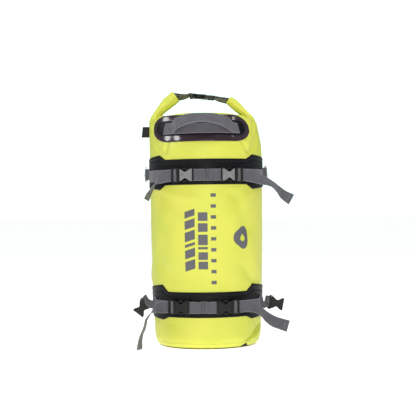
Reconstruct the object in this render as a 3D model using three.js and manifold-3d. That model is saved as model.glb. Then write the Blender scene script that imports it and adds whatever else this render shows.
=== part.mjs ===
// Roll-top tail bag: an upright stuffed tarpaulin tube with two welded bands, a grab handle,
// a rolled and clipped mouth, and webbing straps with side-release buckles.
// Millimetres. X is right, Y is depth with the front at -Y, Z is up, and the bag stands on z = 0.
import * as THREE from 'three';
import Module from 'manifold-3d';
import { mergeVertices } from 'three/addons/utils/BufferGeometryUtils.js';

const wasm = await Module();
wasm.setup();

// ---- driving dimensions ----
const GAP = 0.35;
const WEBBING_WIDTH = 25.4;
const WEBBING = 1.4;
const BAND_THICKNESS = 1.6;
const PATCH_THICKNESS = 1.5;
const SHELL_SIDES = 44;

// the tube's half width and half depth at each height
const PROFILE = [
  [6.4, 108.0, 108.0],
  [12.0, 112.8, 112.8],
  [21.0, 115.9, 115.9],
  [34.0, 117.0, 117.0],
  [60.0, 117.7, 117.7],
  [140.0, 120.4, 120.4],
  [339.0, 123.5, 123.5],
  [415.0, 123.5, 122.8],
  [441.0, 123.2, 119.5],
  [500.5, 117.0, 88.0],
  [503.5, 112.0, 81.0],
];
const PATCH_ARC_RADIUS = 121.5;

const UPPER_BAND = { bottom: 349.4, top: 404.0, sideBottom: 339.5, sideTop: 414.0, strap: 369.8 };
const LOWER_BAND = { bottom: 68.2, top: 122.4, sideBottom: 61.5, sideTop: 137.0, strap: 90.6 };
const BAND_RAMP = { from: 44, to: 53 };

// the rolled mouth: a slot in the tube's top holds it
const ROLL = { depth: 42, middle: 15, floor: 483, top: 507, left: -100, right: 86 };

// ---- materials ----
const tarpaulin = new THREE.MeshStandardMaterial({ color: 0xdfe64e, roughness: 0.55 });
const blackTarpaulin = new THREE.MeshStandardMaterial({ color: 0x26262b, roughness: 0.45 });
const glossPatch = new THREE.MeshStandardMaterial({ color: 0x46323f, roughness: 0.2 });
const greyWebbing = new THREE.MeshStandardMaterial({ color: 0x62626a, roughness: 0.9 });
const blackWebbing = new THREE.MeshStandardMaterial({ color: 0x222226, roughness: 0.9 });
const blackPlastic = new THREE.MeshStandardMaterial({ color: 0x1b1b1e, roughness: 0.4 });
const greyPlastic = new THREE.MeshStandardMaterial({ color: 0x8a888f, roughness: 0.5 });
const steel = new THREE.MeshStandardMaterial({ color: 0xb9bcc0, roughness: 0.25, metalness: 1 });

const bag = new THREE.Group();

function addMesh(name, geometry, material, parent = bag) {
  const mesh = new THREE.Mesh(geometry, material);
  mesh.name = name;
  parent.add(mesh);
  return mesh;
}

// ---- mesh helpers ----
const vec = (x, y, z) => new THREE.Vector3(x, y, z);
const radians = THREE.MathUtils.degToRad;

function geometryFrom(points, faces) {
  let volume = 0;
  for (const [a, b, c] of faces) {
    volume += points[a].dot(points[b].clone().cross(points[c]));
  }
  const ordered = volume < 0 ? faces.map(([a, b, c]) => [a, c, b]) : faces;
  const geometry = new THREE.BufferGeometry();
  const coordinates = points.flatMap((p) => [p.x, p.y, p.z]);
  geometry.setAttribute('position', new THREE.Float32BufferAttribute(coordinates, 3));
  geometry.setIndex(ordered.flat());
  geometry.computeVertexNormals();
  return geometry;
}

// joins a row of equal loops into one skin; an open row is capped by pairing each loop's two halves,
// and those halves split their quads the same way, so a thin twisted strip keeps its thickness
function loft(loops, closed = false) {
  const size = loops[0].length;
  const faces = [];
  const quad = (a, b, c, d) => faces.push([a, b, c], [a, c, d]);
  const otherQuad = (a, b, c, d) => faces.push([a, b, d], [b, c, d]);
  const last = closed ? loops.length : loops.length - 1;
  for (let row = 0; row < last; row += 1) {
    const here = row * size;
    const next = ((row + 1) % loops.length) * size;
    for (let i = 0; i < size; i += 1) {
      const j = (i + 1) % size;
      const split = i < size / 2 ? quad : otherQuad;
      split(here + i, here + j, next + j, next + i);
    }
  }
  if (!closed) {
    const end = (loops.length - 1) * size;
    for (let i = 0; i < size / 2 - 1; i += 1) {
      const k = size - 1 - i;
      quad(k, k - 1, i + 1, i);
      quad(end + i, end + i + 1, end + k - 1, end + k);
    }
  }
  return geometryFrom(loops.flat(), faces);
}

// a flat strip along a route of { at, across } stations, where across points along its width;
// a station may state the direction that its end is cut square to
function ribbon(stations, width, thickness) {
  const loops = stations.map(({ at, across, squareTo }, i) => {
    const before = stations[Math.max(i - 1, 0)].at;
    const after = stations[Math.min(i + 1, stations.length - 1)].at;
    const along = squareTo ?? after.clone().sub(before).normalize();
    const face = along.clone().cross(across).normalize().multiplyScalar(thickness / 2);
    const side = face.clone().cross(along).normalize().multiplyScalar(width / 2);
    return [
      at.clone().add(side).add(face),
      at.clone().sub(side).add(face),
      at.clone().sub(side).sub(face),
      at.clone().add(side).sub(face),
    ];
  });
  return loft(loops);
}

// a round bar bent along a closed route
function closedBar(points, radius, sides) {
  const loops = points.map((at, i) => {
    const before = points[(i + points.length - 1) % points.length];
    const after = points[(i + 1) % points.length];
    const along = after.clone().sub(before).normalize();
    const sideways = vec(1, 0, 0);
    const other = along.clone().cross(sideways).normalize();
    return Array.from({ length: sides }, (_, k) => {
      const turn = (k / sides) * 2 * Math.PI;
      return at.clone()
        .addScaledVector(sideways, radius * Math.cos(turn))
        .addScaledVector(other, radius * Math.sin(turn));
    });
  });
  return loft(loops, true);
}

// a flat outline of [x, y] points, extruded from low to high along z
function plate(outline, low, high) {
  const shape = new THREE.Shape(outline.map(([x, y]) => new THREE.Vector2(x, y)));
  const geometry = new THREE.ExtrudeGeometry(shape, { depth: high - low, bevelEnabled: false });
  return geometry.translate(0, 0, low);
}

function block(x0, x1, halfWidth, low, high) {
  const outline = [[x0, -halfWidth], [x1, -halfWidth], [x1, halfWidth], [x0, halfWidth]];
  return plate(outline, low, high);
}

function toSolid(geometry) {
  const bare = geometry.clone();
  bare.deleteAttribute('normal');
  bare.deleteAttribute('uv');
  const merged = mergeVertices(bare);
  return new wasm.Manifold(new wasm.Mesh({
    numProp: 3,
    vertProperties: merged.attributes.position.array,
    triVerts: new Uint32Array(merged.index.array),
  }));
}

function toGeometry(solid) {
  const { vertProperties, triVerts } = solid.getMesh();
  const geometry = new THREE.BufferGeometry();
  geometry.setAttribute('position', new THREE.BufferAttribute(vertProperties, 3));
  geometry.setIndex(new THREE.BufferAttribute(triVerts, 1));
  geometry.computeVertexNormals();
  return geometry;
}

function cut(geometry, ...tools) {
  const left = tools.reduce((solid, tool) => solid.subtract(toSolid(tool)), toSolid(geometry));
  return toGeometry(left);
}

function join(...pieces) {
  return toGeometry(pieces.slice(1).reduce((solid, piece) => solid.add(toSolid(piece)), toSolid(pieces[0])));
}

// ---- the tube's surface ----
function sectionAt(z) {
  const above = PROFILE.findIndex(([height]) => height >= z);
  const upper = PROFILE[above < 0 ? PROFILE.length - 1 : above];
  const lower = PROFILE[Math.max((above < 0 ? PROFILE.length : above) - 1, 0)];
  const span = upper[0] - lower[0] || 1;
  const part = THREE.MathUtils.clamp((z - lower[0]) / span, 0, 1);
  return [
    THREE.MathUtils.lerp(lower[1], upper[1], part),
    THREE.MathUtils.lerp(lower[2], upper[2], part),
  ];
}

// a point at an angle round the tube from the front, at a height, standing off its surface
function onTube(angle, z, offset) {
  const [halfWidth, halfDepth] = sectionAt(z);
  return vec((halfWidth + offset) * Math.sin(angle), -(halfDepth + offset) * Math.cos(angle), z);
}

// the direction up the tube's wall, along which webbing that lies on it has its width
function upTheWall(angle, z) {
  return onTube(angle, z + 10, 0).sub(onTube(angle, z - 10, 0)).normalize();
}

function ellipseLoop(halfWidth, halfDepth, z, middle = 0) {
  return Array.from({ length: SHELL_SIDES }, (_, i) => {
    const angle = ((i + 0.5) / SHELL_SIDES) * 2 * Math.PI;
    return vec(halfWidth * Math.sin(angle), middle - halfDepth * Math.cos(angle), z);
  });
}

// ---- bag body ----
function bagShell() {
  const loops = PROFILE.map(([z, halfWidth, halfDepth]) => ellipseLoop(halfWidth, halfDepth, z));
  loops.push(ellipseLoop(96, 62, ROLL.floor + 16));
  loops.push(ellipseLoop(84, 34, ROLL.floor + 4, ROLL.middle / 2));
  const slot = new THREE.BoxGeometry(300, ROLL.depth + 2 * GAP, 80);
  slot.translate(0, ROLL.middle, ROLL.floor + 40);
  return cut(loft(loops), slot);
}

// the welded base disc, with a small rounded edge
function basePanel() {
  const profile = [[0, 0], [99, 0], [103.5, 1.2], [106, 3.4], [106.5, 6], [0, 6]];
  const points = profile.map(([r, z]) => new THREE.Vector2(r, z));
  const lathe = new THREE.LatheGeometry(points, SHELL_SIDES);
  return toGeometry(toSolid(lathe.rotateX(Math.PI / 2)));
}

// a welded band: taller where it wraps the sides
function bandRing(band) {
  const steps = 80;
  const loops = Array.from({ length: steps }, (_, i) => {
    const degrees = (i / steps) * 360;
    const fromFrontOrBack = Math.min(degrees % 180, 180 - (degrees % 180));
    const rise = (fromFrontOrBack - BAND_RAMP.from) / (BAND_RAMP.to - BAND_RAMP.from);
    const side = THREE.MathUtils.clamp(rise, 0, 1);
    const bottom = THREE.MathUtils.lerp(band.bottom, band.sideBottom, side);
    const top = THREE.MathUtils.lerp(band.top, band.sideTop, side);
    const angle = radians(degrees);
    const outer = GAP + BAND_THICKNESS;
    return [
      onTube(angle, bottom, GAP), onTube(angle, bottom, outer),
      onTube(angle, top, outer), onTube(angle, top, GAP),
    ];
  });
  return loft(loops, true);
}

addMesh('bag_shell', bagShell(), tarpaulin);
addMesh('base_panel', basePanel(), blackTarpaulin);
addMesh('upper_band', bandRing(UPPER_BAND), blackTarpaulin);
addMesh('lower_band', bandRing(LOWER_BAND), blackTarpaulin);

// ---- rolled mouth ----
// outlines in [x, z] of the two ends of the roll, bent up from the bag's corners
const LEFT_ARM = [
  [-119.5, 492], [-120.5, 504], [-111, 516.8], [-92, 540.3], [-73.2, 560],
  [-57.1, 537.7], [-68.3, 527.1], [-85.5, 512.5], [ROLL.left - GAP, 508], [ROLL.left - GAP, 489],
];
const RIGHT_ARM = [
  [113.5, 491], [98.4, 508], [76.7, 533.9], [57.7, 546.4],
  [46.4, 532.1], [56.1, 523], [68, 513.5], [ROLL.right + GAP, 508], [ROLL.right + GAP, 489],
];

function rollArm(outline) {
  const arm = plate(outline, -ROLL.depth / 2, ROLL.depth / 2);
  return toGeometry(toSolid(arm.rotateX(Math.PI / 2).translate(0, ROLL.middle, 0)));
}

function rollMiddle() {
  const low = ROLL.floor + GAP;
  const halfDepth = ROLL.depth / 2;
  const section = [
    [-halfDepth, low + 5], [-halfDepth + 5, low], [halfDepth - 5, low], [halfDepth, low + 5],
    [halfDepth, ROLL.top - 7], [halfDepth - 7, ROLL.top], [-halfDepth + 7, ROLL.top],
    [-halfDepth, ROLL.top - 7],
  ];
  const loops = [ROLL.left, ROLL.right].map(
    (x) => section.map(([y, z]) => vec(x, ROLL.middle + y, z)),
  );
  return loft(loops);
}

addMesh('roll_middle', rollMiddle(), tarpaulin);
addMesh('roll_arm_left', rollArm(LEFT_ARM), tarpaulin);
addMesh('roll_arm_right', rollArm(RIGHT_ARM), tarpaulin);

// ---- grab handle ----
const PATCH = { middleArc: -13.2, halfArc: 123.5, z: 470.5, halfHeight: 29.5 };
const INNER_PATCH = { middleArc: -13.2, halfArc: 108, z: 471, halfHeight: 16.6 };
const HANDLE_WEBBING = { fromArc: -93, toArc: 76, z: 469.8 };
const HANDLE_FEET = { middleArc: -2.5, z: 470.5 };

// a rounded-end patch that follows the tube's front
function wrappedPatch(patch, offset, thickness, columns, rows) {
  const loops = Array.from({ length: columns + 1 }, (_, i) => {
    const swing = -Math.cos((i / columns) * Math.PI);
    const along = swing * (patch.halfArc - 0.4);
    const intoEnd = Math.max(Math.abs(along) - (patch.halfArc - patch.halfHeight), 0);
    const half = Math.sqrt(patch.halfHeight ** 2 - intoEnd ** 2);
    const angle = (patch.middleArc + along) / PATCH_ARC_RADIUS;
    const height = (k) => patch.z + half * (2 * (k / rows) - 1);
    const outer = Array.from({ length: rows + 1 }, (_, k) => onTube(angle, height(k), offset + thickness));
    const inner = Array.from({ length: rows + 1 }, (_, k) => onTube(angle, height(rows - k), offset));
    return [...outer, ...inner];
  });
  return loft(loops);
}

function handleWebbing(offset) {
  const columns = 20;
  const low = HANDLE_WEBBING.z - WEBBING_WIDTH / 2;
  const high = HANDLE_WEBBING.z + WEBBING_WIDTH / 2;
  const loops = Array.from({ length: columns + 1 }, (_, i) => {
    const arc = THREE.MathUtils.lerp(HANDLE_WEBBING.fromArc, HANDLE_WEBBING.toArc, i / columns);
    const angle = arc / PATCH_ARC_RADIUS;
    return [
      onTube(angle, low, offset + WEBBING), onTube(angle, high, offset + WEBBING),
      onTube(angle, high, offset), onTube(angle, low, offset),
    ];
  });
  return loft(loops);
}

const patchOffset = GAP;
const innerPatchOffset = patchOffset + PATCH_THICKNESS + GAP;
const handleOffset = innerPatchOffset + 1 + GAP;
addMesh('handle_patch', wrappedPatch(PATCH, patchOffset, PATCH_THICKNESS, 34, 4), glossPatch);
addMesh('handle_patch_inlay', wrappedPatch(INNER_PATCH, innerPatchOffset, 1, 28, 2), blackTarpaulin);
addMesh('handle_base_webbing', handleWebbing(handleOffset), blackWebbing);

// the grip stands off the patch between two sewn feet and rises towards its middle
const GRIP = { width: 23, thickness: 3, middle: -2, halfSpan: 66, left: -56, right: 52, lean: 0.5 };
const GRIP_ROOT = { y: -98, z: 470, standoff: 34, rise: 21 };
function gripStations(from, to, count) {
  return Array.from({ length: count + 1 }, (_, i) => {
    const x = THREE.MathUtils.lerp(from, to, i / count);
    const bow = 1 - ((x - GRIP.middle) / GRIP.halfSpan) ** 2;
    return {
      at: vec(x, GRIP_ROOT.y - GRIP_ROOT.standoff * bow, GRIP_ROOT.z + GRIP_ROOT.rise * Math.sqrt(bow)),
      across: vec(0, GRIP.lean, 1).normalize(),
      squareTo: i === 0 || i === count ? vec(1, 0, 0) : undefined,
    };
  });
}

function handleFoot(side) {
  const offset = handleOffset + WEBBING + GAP + GRIP.thickness / 2;
  const sewn = [82, 74].map((arc) => {
    const angle = (side * arc + HANDLE_FEET.middleArc) / PATCH_ARC_RADIUS;
    return { at: onTube(angle, HANDLE_FEET.z, offset), across: upTheWall(angle, HANDLE_FEET.z) };
  });
  const edge = side < 0 ? GRIP.left - GAP : GRIP.right + GAP;
  const rising = gripStations(edge + side * 3, edge, 1);
  const facing = rising.map((station) => ({ ...station, squareTo: vec(-side, 0, 0) }));
  return ribbon([...sewn, ...facing], GRIP.width, GRIP.thickness);
}

addMesh('grab_handle', ribbon(gripStations(GRIP.left, GRIP.right, 14), GRIP.width, GRIP.thickness), greyWebbing);
addMesh('handle_foot_left', handleFoot(-1), greyWebbing);
addMesh('handle_foot_right', handleFoot(1), greyWebbing);

// a folded webbing tab sewn into the left side
const TAB = { from: -122.9, to: -138, z: 469, width: 23.5, slope: 0.13 };
addMesh('side_tab', ribbon([
  { at: vec(TAB.from, 0, TAB.z), across: vec(TAB.slope, 0, 1) },
  { at: vec(TAB.to, 0, TAB.z + 0.5), across: vec(TAB.slope, 0, 1) },
], TAB.width, 2.6), blackWebbing);

// ---- straps on the bands ----
const strapInner = GAP + BAND_THICKNESS + GAP;
const strapMiddle = strapInner + WEBBING / 2;

function strapStations(from, to, z, count) {
  return Array.from({ length: count + 1 }, (_, i) => {
    const angle = radians(THREE.MathUtils.lerp(from, to, i / count));
    return { at: onTube(angle, z, strapMiddle), across: upTheWall(angle, z) };
  });
}

// ---- side-release buckle ----
// local frame: x runs from the female half's webbing bar to the male half's end bar,
// y is across the webbing and z points away from the bag
const BUCKLE = {
  femaleLength: 33, maleStart: 33.3, length: 49.4, halfThickness: 4.2,
  barHalfWidth: 15, mouthHalfWidth: 13.4, waist: 6.2, cavityHalfWidth: 10.4, cavityHalfHeight: 2.4,
  slotHalfWidth: 13.1, armPivot: 7.6, armHalfHeight: 1.9,
};

function femaleHalf() {
  const { femaleLength, barHalfWidth, mouthHalfWidth, waist, halfThickness } = BUCKLE;
  const steps = 10;
  const flank = Array.from({ length: steps + 1 }, (_, i) => {
    const x = THREE.MathUtils.lerp(7, femaleLength - 2, i / steps);
    return [x, mouthHalfWidth - waist * Math.sin((i / steps) * Math.PI) ** 2];
  });
  const half = [[0, barHalfWidth - 1.2], [1, barHalfWidth], [6.4, barHalfWidth], ...flank,
    [femaleLength, mouthHalfWidth]];
  const outline = [...half.map(([x, y]) => [x, -y]), ...half.toReversed()];
  return cut(
    plate(outline, -halfThickness, halfThickness),
    block(7, femaleLength + 1, BUCKLE.cavityHalfWidth, -BUCKLE.cavityHalfHeight, BUCKLE.cavityHalfHeight),
    block(2, 5.6, BUCKLE.slotHalfWidth, -halfThickness - 1, halfThickness + 1),
    block(-1, 3, BUCKLE.slotHalfWidth, 1.5, halfThickness + 1),
    block(-1, 3, BUCKLE.slotHalfWidth, -halfThickness - 1, -1.5),
  );
}

function maleHalf() {
  const { maleStart, length, barHalfWidth, slotHalfWidth } = BUCKLE;
  const frame = cut(
    plate([
      [maleStart, -barHalfWidth], [length - 2, -barHalfWidth - 0.6], [length, -barHalfWidth + 1],
      [length, barHalfWidth - 1], [length - 2, barHalfWidth + 0.6], [maleStart, barHalfWidth],
    ], -4, 3.2),
    block(maleStart + 3.3, length - 3.2, slotHalfWidth, -5, 5),
    block(length - 4, length + 1, slotHalfWidth, -5, 0.2),
  );
  const middleBar = block(maleStart + 6.1, maleStart + 8.7, slotHalfWidth + 0.5, -2.4, 0.8);
  const tongue = block(20, maleStart + 0.5, 1.6, -1.5, 1.5);
  return join(frame, middleBar, tongue);
}

function latchArm(side) {
  const outline = [
    [33, 7.4], [33, 9.9], [24.6, 9.9], [23.6, 14.4], [19, 15.2], [14.8, 13.4], [13.2, 10], [9.8, 9.8],
    [9.4, 8], [13.6, 8.4], [16, 11], [19, 12.4], [22.2, 11.6], [22.8, 7.4],
  ].map(([x, y]) => [x, side * y]);
  const ordered = side > 0 ? outline.toReversed() : outline;
  return plate(ordered, -BUCKLE.armHalfHeight, BUCKLE.armHalfHeight);
}

// the webbing's way through the male half's ladder: up, over the middle bar and out under the end bar
const LADDER_ROUTE = [
  [38, -3], [38, 0.9], [39, 2], [42.2, 2], [43.5, 0.7], [44.6, -0.9], [46.4, -1.5], [49.8, -1.6],
];

function buckleFrame(origin, along, outward, scale = 1) {
  const across = outward.clone().cross(along);
  const frame = new THREE.Group();
  frame.applyMatrix4(new THREE.Matrix4().makeBasis(along, across, outward));
  frame.position.copy(origin);
  frame.scale.setScalar(scale);
  frame.updateMatrixWorld(true);
  bag.add(frame);
  return frame;
}

function addBuckle(name, frame, femaleMaterial) {
  addMesh(`${name}_buckle_female`, femaleHalf(), femaleMaterial, frame);
  addMesh(`${name}_buckle_male`, maleHalf(), blackPlastic, frame);
  addMesh(`${name}_latch_arm_a`, latchArm(1), blackPlastic, frame);
  addMesh(`${name}_latch_arm_b`, latchArm(-1), blackPlastic, frame);
}

// a loose strap end: from the ladder out along stations of [x, y, z] and a width direction
function addTail(name, frame, stations) {
  const across = vec(0, 1, 0).transformDirection(frame.matrixWorld);
  const ladder = LADDER_ROUTE.map(([x, z]) => ({ at: vec(x, 0, z).applyMatrix4(frame.matrixWorld), across }));
  const facing = Math.sign(across.z) || 1;
  const loose = stations.map(([x, y, z, ...width]) => ({
    at: vec(x, y, z), across: vec(...width).normalize().multiplyScalar(facing),
  }));
  addMesh(`${name}_strap_tail`, ribbon([...ladder, ...loose], WEBBING_WIDTH, WEBBING), greyWebbing);
}

// each band buckle sits flat against the tube at an angle from the front
const BAND_BUCKLES = [
  {
    name: 'upper_left', band: UPPER_BAND, degrees: -22.1, female: greyPlastic, strapEnd: -77,
    tail: [
      [-88.9, -104, 367.2, 0, 0.1, 1], [-101.9, -98.5, 361.2, 0, 0.6, 0.8],
      [-109.7, -95, 351.5, 0.2, 0.95, 0.25], [-116.2, -94, 339.9, 0.3, 0.95, 0.05],
      [-122.4, -94, 329.5, 0.4, 0.9, 0.05], [-127.1, -95, 318.7, 0.45, 0.88, 0.1],
    ],
  },
  {
    name: 'upper_right', band: UPPER_BAND, degrees: 24.5, female: greyPlastic, strapEnd: 77,
    tail: [
      [97.5, -104, 365.6, 0, 0.2, 1], [114.7, -99, 359.9, 0, 0.49, 0.87],
      [129.8, -93, 355.2, 0.05, 0.72, 0.69], [142.8, -88, 348.3, 0.2, 0.85, 0.45],
      [154.6, -85, 337.5, 0.3, 0.8, 0.5], [165.3, -82, 326.3, 0.45, 0.6, 0.65],
      [182.2, -80, 315.6, 0.5, 0.3, 0.8],
    ],
  },
  {
    name: 'lower_left', band: LOWER_BAND, degrees: -28.4, female: blackPlastic, strapEnd: -66,
    tail: [
      [-95.3, -95.5, 90.3, 0, 0.1, 1], [-105.9, -95, 87.1, 0.1, 0.6, 0.8],
      [-115.4, -97, 81.5, 0.2, 0.9, 0.35], [-123, -99, 74.9, 0.2, 0.97, 0.1],
      [-130.2, -101, 64.4, 0.15, 0.98, 0], [-132.6, -103, 53.6, 0.15, 0.98, 0],
      [-136.2, -104, 42.6, 0.2, 0.97, 0], [-140.3, -104, 34, 0.2, 0.97, 0],
      [-142.8, -104, 25, 0.25, 0.96, 0], [-144.4, -104, 15, 0.3, 0.95, 0], [-145.4, -104, 2, 0.35, 0.93, 0],
    ],
  },
  {
    name: 'lower_right', band: LOWER_BAND, degrees: 19.9, female: blackPlastic, strapEnd: 66,
    tail: [
      [84.4, -104.5, 91.2, 0, 0.1, 1], [96.2, -100.5, 88.8, 0, 0.5, 0.85],
      [106.9, -97, 84, 0.05, 0.65, 0.75], [117.6, -93, 75, 0.1, 0.7, 0.7],
      [128.3, -90, 64.6, 0.25, 0.6, 0.75], [141.1, -88, 56.1, 0.25, 0.45, 0.85],
      [154, -86, 51.2, 0.2, 0.4, 0.9], [171.5, -84, 45.2, 0.35, 0.2, 0.9],
    ],
  },
];

const BUCKLE_STANDOFF = strapInner + WEBBING + 0.6 + BUCKLE.halfThickness;
const femaleReach = THREE.MathUtils.radToDeg((BUCKLE.length / 2 - 1) / 132);
for (const { name, band, degrees, female, strapEnd, tail } of BAND_BUCKLES) {
  const side = Math.sign(degrees);
  const angle = radians(degrees);
  const outward = vec(Math.sin(angle), -Math.cos(angle), 0);
  const along = vec(side * Math.cos(angle), side * Math.sin(angle), 0);
  const centre = onTube(angle, band.strap, BUCKLE_STANDOFF);
  const frame = buckleFrame(centre.addScaledVector(along, -BUCKLE.length / 2), along, outward);
  addBuckle(name, frame, female);
  addTail(name, frame, tail);
  addMesh(`${name}_side_strap`, ribbon(strapStations(degrees + side * 7, strapEnd, band.strap, 9),
    WEBBING_WIDTH, WEBBING), greyWebbing);
}

// the webbing between the two female halves, and the run across the back, on each band
for (const [name, band, left, right] of [
  ['upper', UPPER_BAND, BAND_BUCKLES[0], BAND_BUCKLES[1]],
  ['lower', LOWER_BAND, BAND_BUCKLES[2], BAND_BUCKLES[3]],
]) {
  const from = left.degrees + femaleReach;
  const to = right.degrees - femaleReach;
  addMesh(`${name}_centre_webbing`, ribbon(strapStations(from, to, band.strap, 6), WEBBING_WIDTH, WEBBING), greyWebbing);
  addMesh(`${name}_back_webbing`, ribbon(strapStations(112, 248, band.strap, 26), WEBBING_WIDTH, WEBBING), greyWebbing);
}

// ---- side loops ----
// an eye of webbing: it leads in beside the bar, turns round it and comes back over itself
const EYE = { radius: 3.3, lead: 7.5, halfSpace: 0.95 };
function eyeStations(bar, along, across) {
  const normal = across.clone().cross(along).normalize();
  const place = (u, v) => ({
    at: bar.clone().addScaledVector(along, u).addScaledVector(normal, v), across,
  });
  const turn = Array.from({ length: 11 }, (_, i) => {
    const swing = radians(-110 + i * 22);
    return place(EYE.radius * Math.cos(swing), EYE.radius * Math.sin(swing));
  });
  return [place(-EYE.lead, -EYE.halfSpace), ...turn, place(-EYE.lead, EYE.halfSpace)];
}

const RING = { wire: 1.75, halfHeight: 15.5, reach: 19, sides: 8 };
function dRing() {
  const curve = Array.from({ length: 15 }, (_, i) => {
    const swing = radians(-90 + (i / 14) * 180);
    return vec(0, 4 + (RING.reach - 4) * Math.cos(swing), RING.halfHeight * Math.sin(swing));
  });
  const bar = [13, 7, 0, -7, -13].map((z) => vec(0, 0, z));
  return closedBar([...curve, ...bar], RING.wire, RING.sides);
}

// a D-ring hangs in an eye at the end of each upper side strap
const RING_EYE = { degrees: 83, startDegrees: 77.5, z: UPPER_BAND.strap + 5, standoff: strapMiddle + 4.6 };
for (const side of [-1, 1]) {
  const word = side < 0 ? 'left' : 'right';
  const angle = radians(side * RING_EYE.degrees);
  const bar = onTube(angle, RING_EYE.z, RING_EYE.standoff);
  const along = vec(side * Math.cos(angle), side * Math.sin(angle), 0);
  const across = vec(0, 0, -side);
  const lead = strapStations(side * RING_EYE.startDegrees, side * (RING_EYE.startDegrees + 0.8), RING_EYE.z, 1);
  const route = [...lead.map(({ at }) => ({ at, across })), ...eyeStations(bar, along, across)];
  addMesh(`ring_loop_${word}`, ribbon(route, WEBBING_WIDTH - 1, WEBBING), greyWebbing);
  const ring = addMesh(`d_ring_${word}`, dRing(), steel);
  ring.position.copy(bar);
  ring.rotation.z = side * -radians(14);
}

// a spare female half hangs in an eye from each side of the lower band
const SPARES = [
  { word: 'left', side: -1, bar: vec(-133.5, -24, 96), along: vec(-0.61, 0, -0.79) },
  { word: 'right', side: 1, bar: vec(134, -24, 93), along: vec(0.98, 0, -0.2) },
];
for (const { word, side, bar, along } of SPARES) {
  along.normalize();
  const outward = vec(0, -1, 0);
  const across = outward.clone().cross(along);
  const flat = upTheWall(radians(side * 68), bar.z).multiplyScalar(-side);
  const lead = strapStations(side * 66.8, side * 69, bar.z, 1).map(({ at }) => ({ at, across: flat }));
  const bend = { at: vec(side * 121.5, -39, bar.z), across: flat.clone().lerp(across, 0.35) };
  const route = [...lead, bend, ...eyeStations(bar, along, across)];
  addMesh(`spare_loop_${word}`, ribbon(route, WEBBING_WIDTH, WEBBING), greyWebbing);
  const frame = buckleFrame(bar.clone().addScaledVector(along, -1), along, outward);
  addMesh(`spare_buckle_${word}`, femaleHalf(), blackPlastic, frame);
}

// ---- mouth closure ----
const CLOSURE = { start: vec(-34, 15, 549.6), slope: radians(-5), scale: 1.12 };
const closureAlong = vec(Math.cos(CLOSURE.slope), 0, Math.sin(CLOSURE.slope));
const closureOut = vec(-Math.sin(CLOSURE.slope), 0, Math.cos(CLOSURE.slope));
const closureFrame = buckleFrame(CLOSURE.start, closureAlong, closureOut, CLOSURE.scale);
addBuckle('closure', closureFrame, blackPlastic);

function closureStrap(points) {
  return ribbon(points.map(([x, z]) => ({ at: vec(x, ROLL.middle, z), across: vec(0, 1, 0) })),
    WEBBING_WIDTH, 2.2);
}
addMesh('closure_strap_left', closureStrap([[-63.5, 550], [-52, 551.6], [-40, 550.6], [-34.6, 549.9]]), greyWebbing);
addMesh('closure_strap_right', closureStrap([[22.8, 543.4], [36, 541.8], [48, 540.6], [51, 540]]), greyWebbing);

export default bag;
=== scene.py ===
"""Roll-top tail bag: the visible pieces, their finishes, the studio and the camera.

Lengths in the tables are millimetres in the row frame, and MM turns them to metres. The front of
the bag faces -Y. An angle round the tube is measured from the front towards +X, and the same place
as an arc is that angle times PATCH_ARC."""

import math

import bmesh
import bpy
import numpy as np
from mathutils import Matrix, Vector


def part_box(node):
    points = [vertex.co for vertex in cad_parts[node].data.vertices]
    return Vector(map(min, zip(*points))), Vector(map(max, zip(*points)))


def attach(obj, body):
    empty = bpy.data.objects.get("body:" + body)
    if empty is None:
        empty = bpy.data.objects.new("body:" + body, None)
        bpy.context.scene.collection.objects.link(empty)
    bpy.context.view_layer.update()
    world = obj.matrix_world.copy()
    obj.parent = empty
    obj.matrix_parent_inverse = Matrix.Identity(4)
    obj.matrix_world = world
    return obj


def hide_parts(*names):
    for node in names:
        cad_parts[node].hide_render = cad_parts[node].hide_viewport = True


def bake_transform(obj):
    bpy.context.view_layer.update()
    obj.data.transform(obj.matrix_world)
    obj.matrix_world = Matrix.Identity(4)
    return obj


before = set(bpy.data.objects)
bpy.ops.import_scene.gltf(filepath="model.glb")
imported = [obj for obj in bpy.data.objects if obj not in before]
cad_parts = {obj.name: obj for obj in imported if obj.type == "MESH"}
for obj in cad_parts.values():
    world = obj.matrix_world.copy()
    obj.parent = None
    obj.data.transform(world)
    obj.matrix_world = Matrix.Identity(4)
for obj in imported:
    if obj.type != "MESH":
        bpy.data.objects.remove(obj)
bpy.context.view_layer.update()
MM = 0.001
PATCH_ARC = 121.5
WEBBING_WIDTH = 25.4
WEBBING = 1.4
GAP = 0.35
rng = np.random.default_rng(7)


def top_and_bottom(node):
    """The highest and lowest point of a CAD node in millimetres."""
    low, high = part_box(node)
    return high.z / MM, low.z / MM


def strap_height(node):
    """The middle height of a horizontal strap in millimetres."""
    return sum(top_and_bottom(node)) / 2


def in_scene(name, data):
    """A new object in the scene that holds a mesh, a light or a camera."""
    obj = bpy.data.objects.new(name, data)
    bpy.context.scene.collection.objects.link(obj)
    return obj


# ---------------------------------------------------------------- camera
LENS = 95.83
SENSOR_WIDTH = 36.0
CAMERA_PLACE = (0.0035, -2.45, 0.3)
CAMERA_ROLL = 0.0131
camera = in_scene("camera", bpy.data.cameras.new("camera"))
camera.data.lens = LENS
camera.data.sensor_width = SENSOR_WIDTH
camera.location = CAMERA_PLACE
camera.rotation_euler = (math.pi / 2, CAMERA_ROLL, 0.0)
bpy.context.scene.camera = camera
bpy.context.scene.view_settings.view_transform = "Standard"


# ---------------------------------------------------------------- finishes
def linear(hex_colour, alpha=1.0):
    """An sRGB hex colour as linear light."""
    parts = [int(hex_colour[i:i + 2], 16) / 255 for i in (1, 3, 5)]
    return [p / 12.92 if p <= 0.04045 else ((p + 0.055) / 1.055) ** 2.4 for p in parts] + [alpha]


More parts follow.
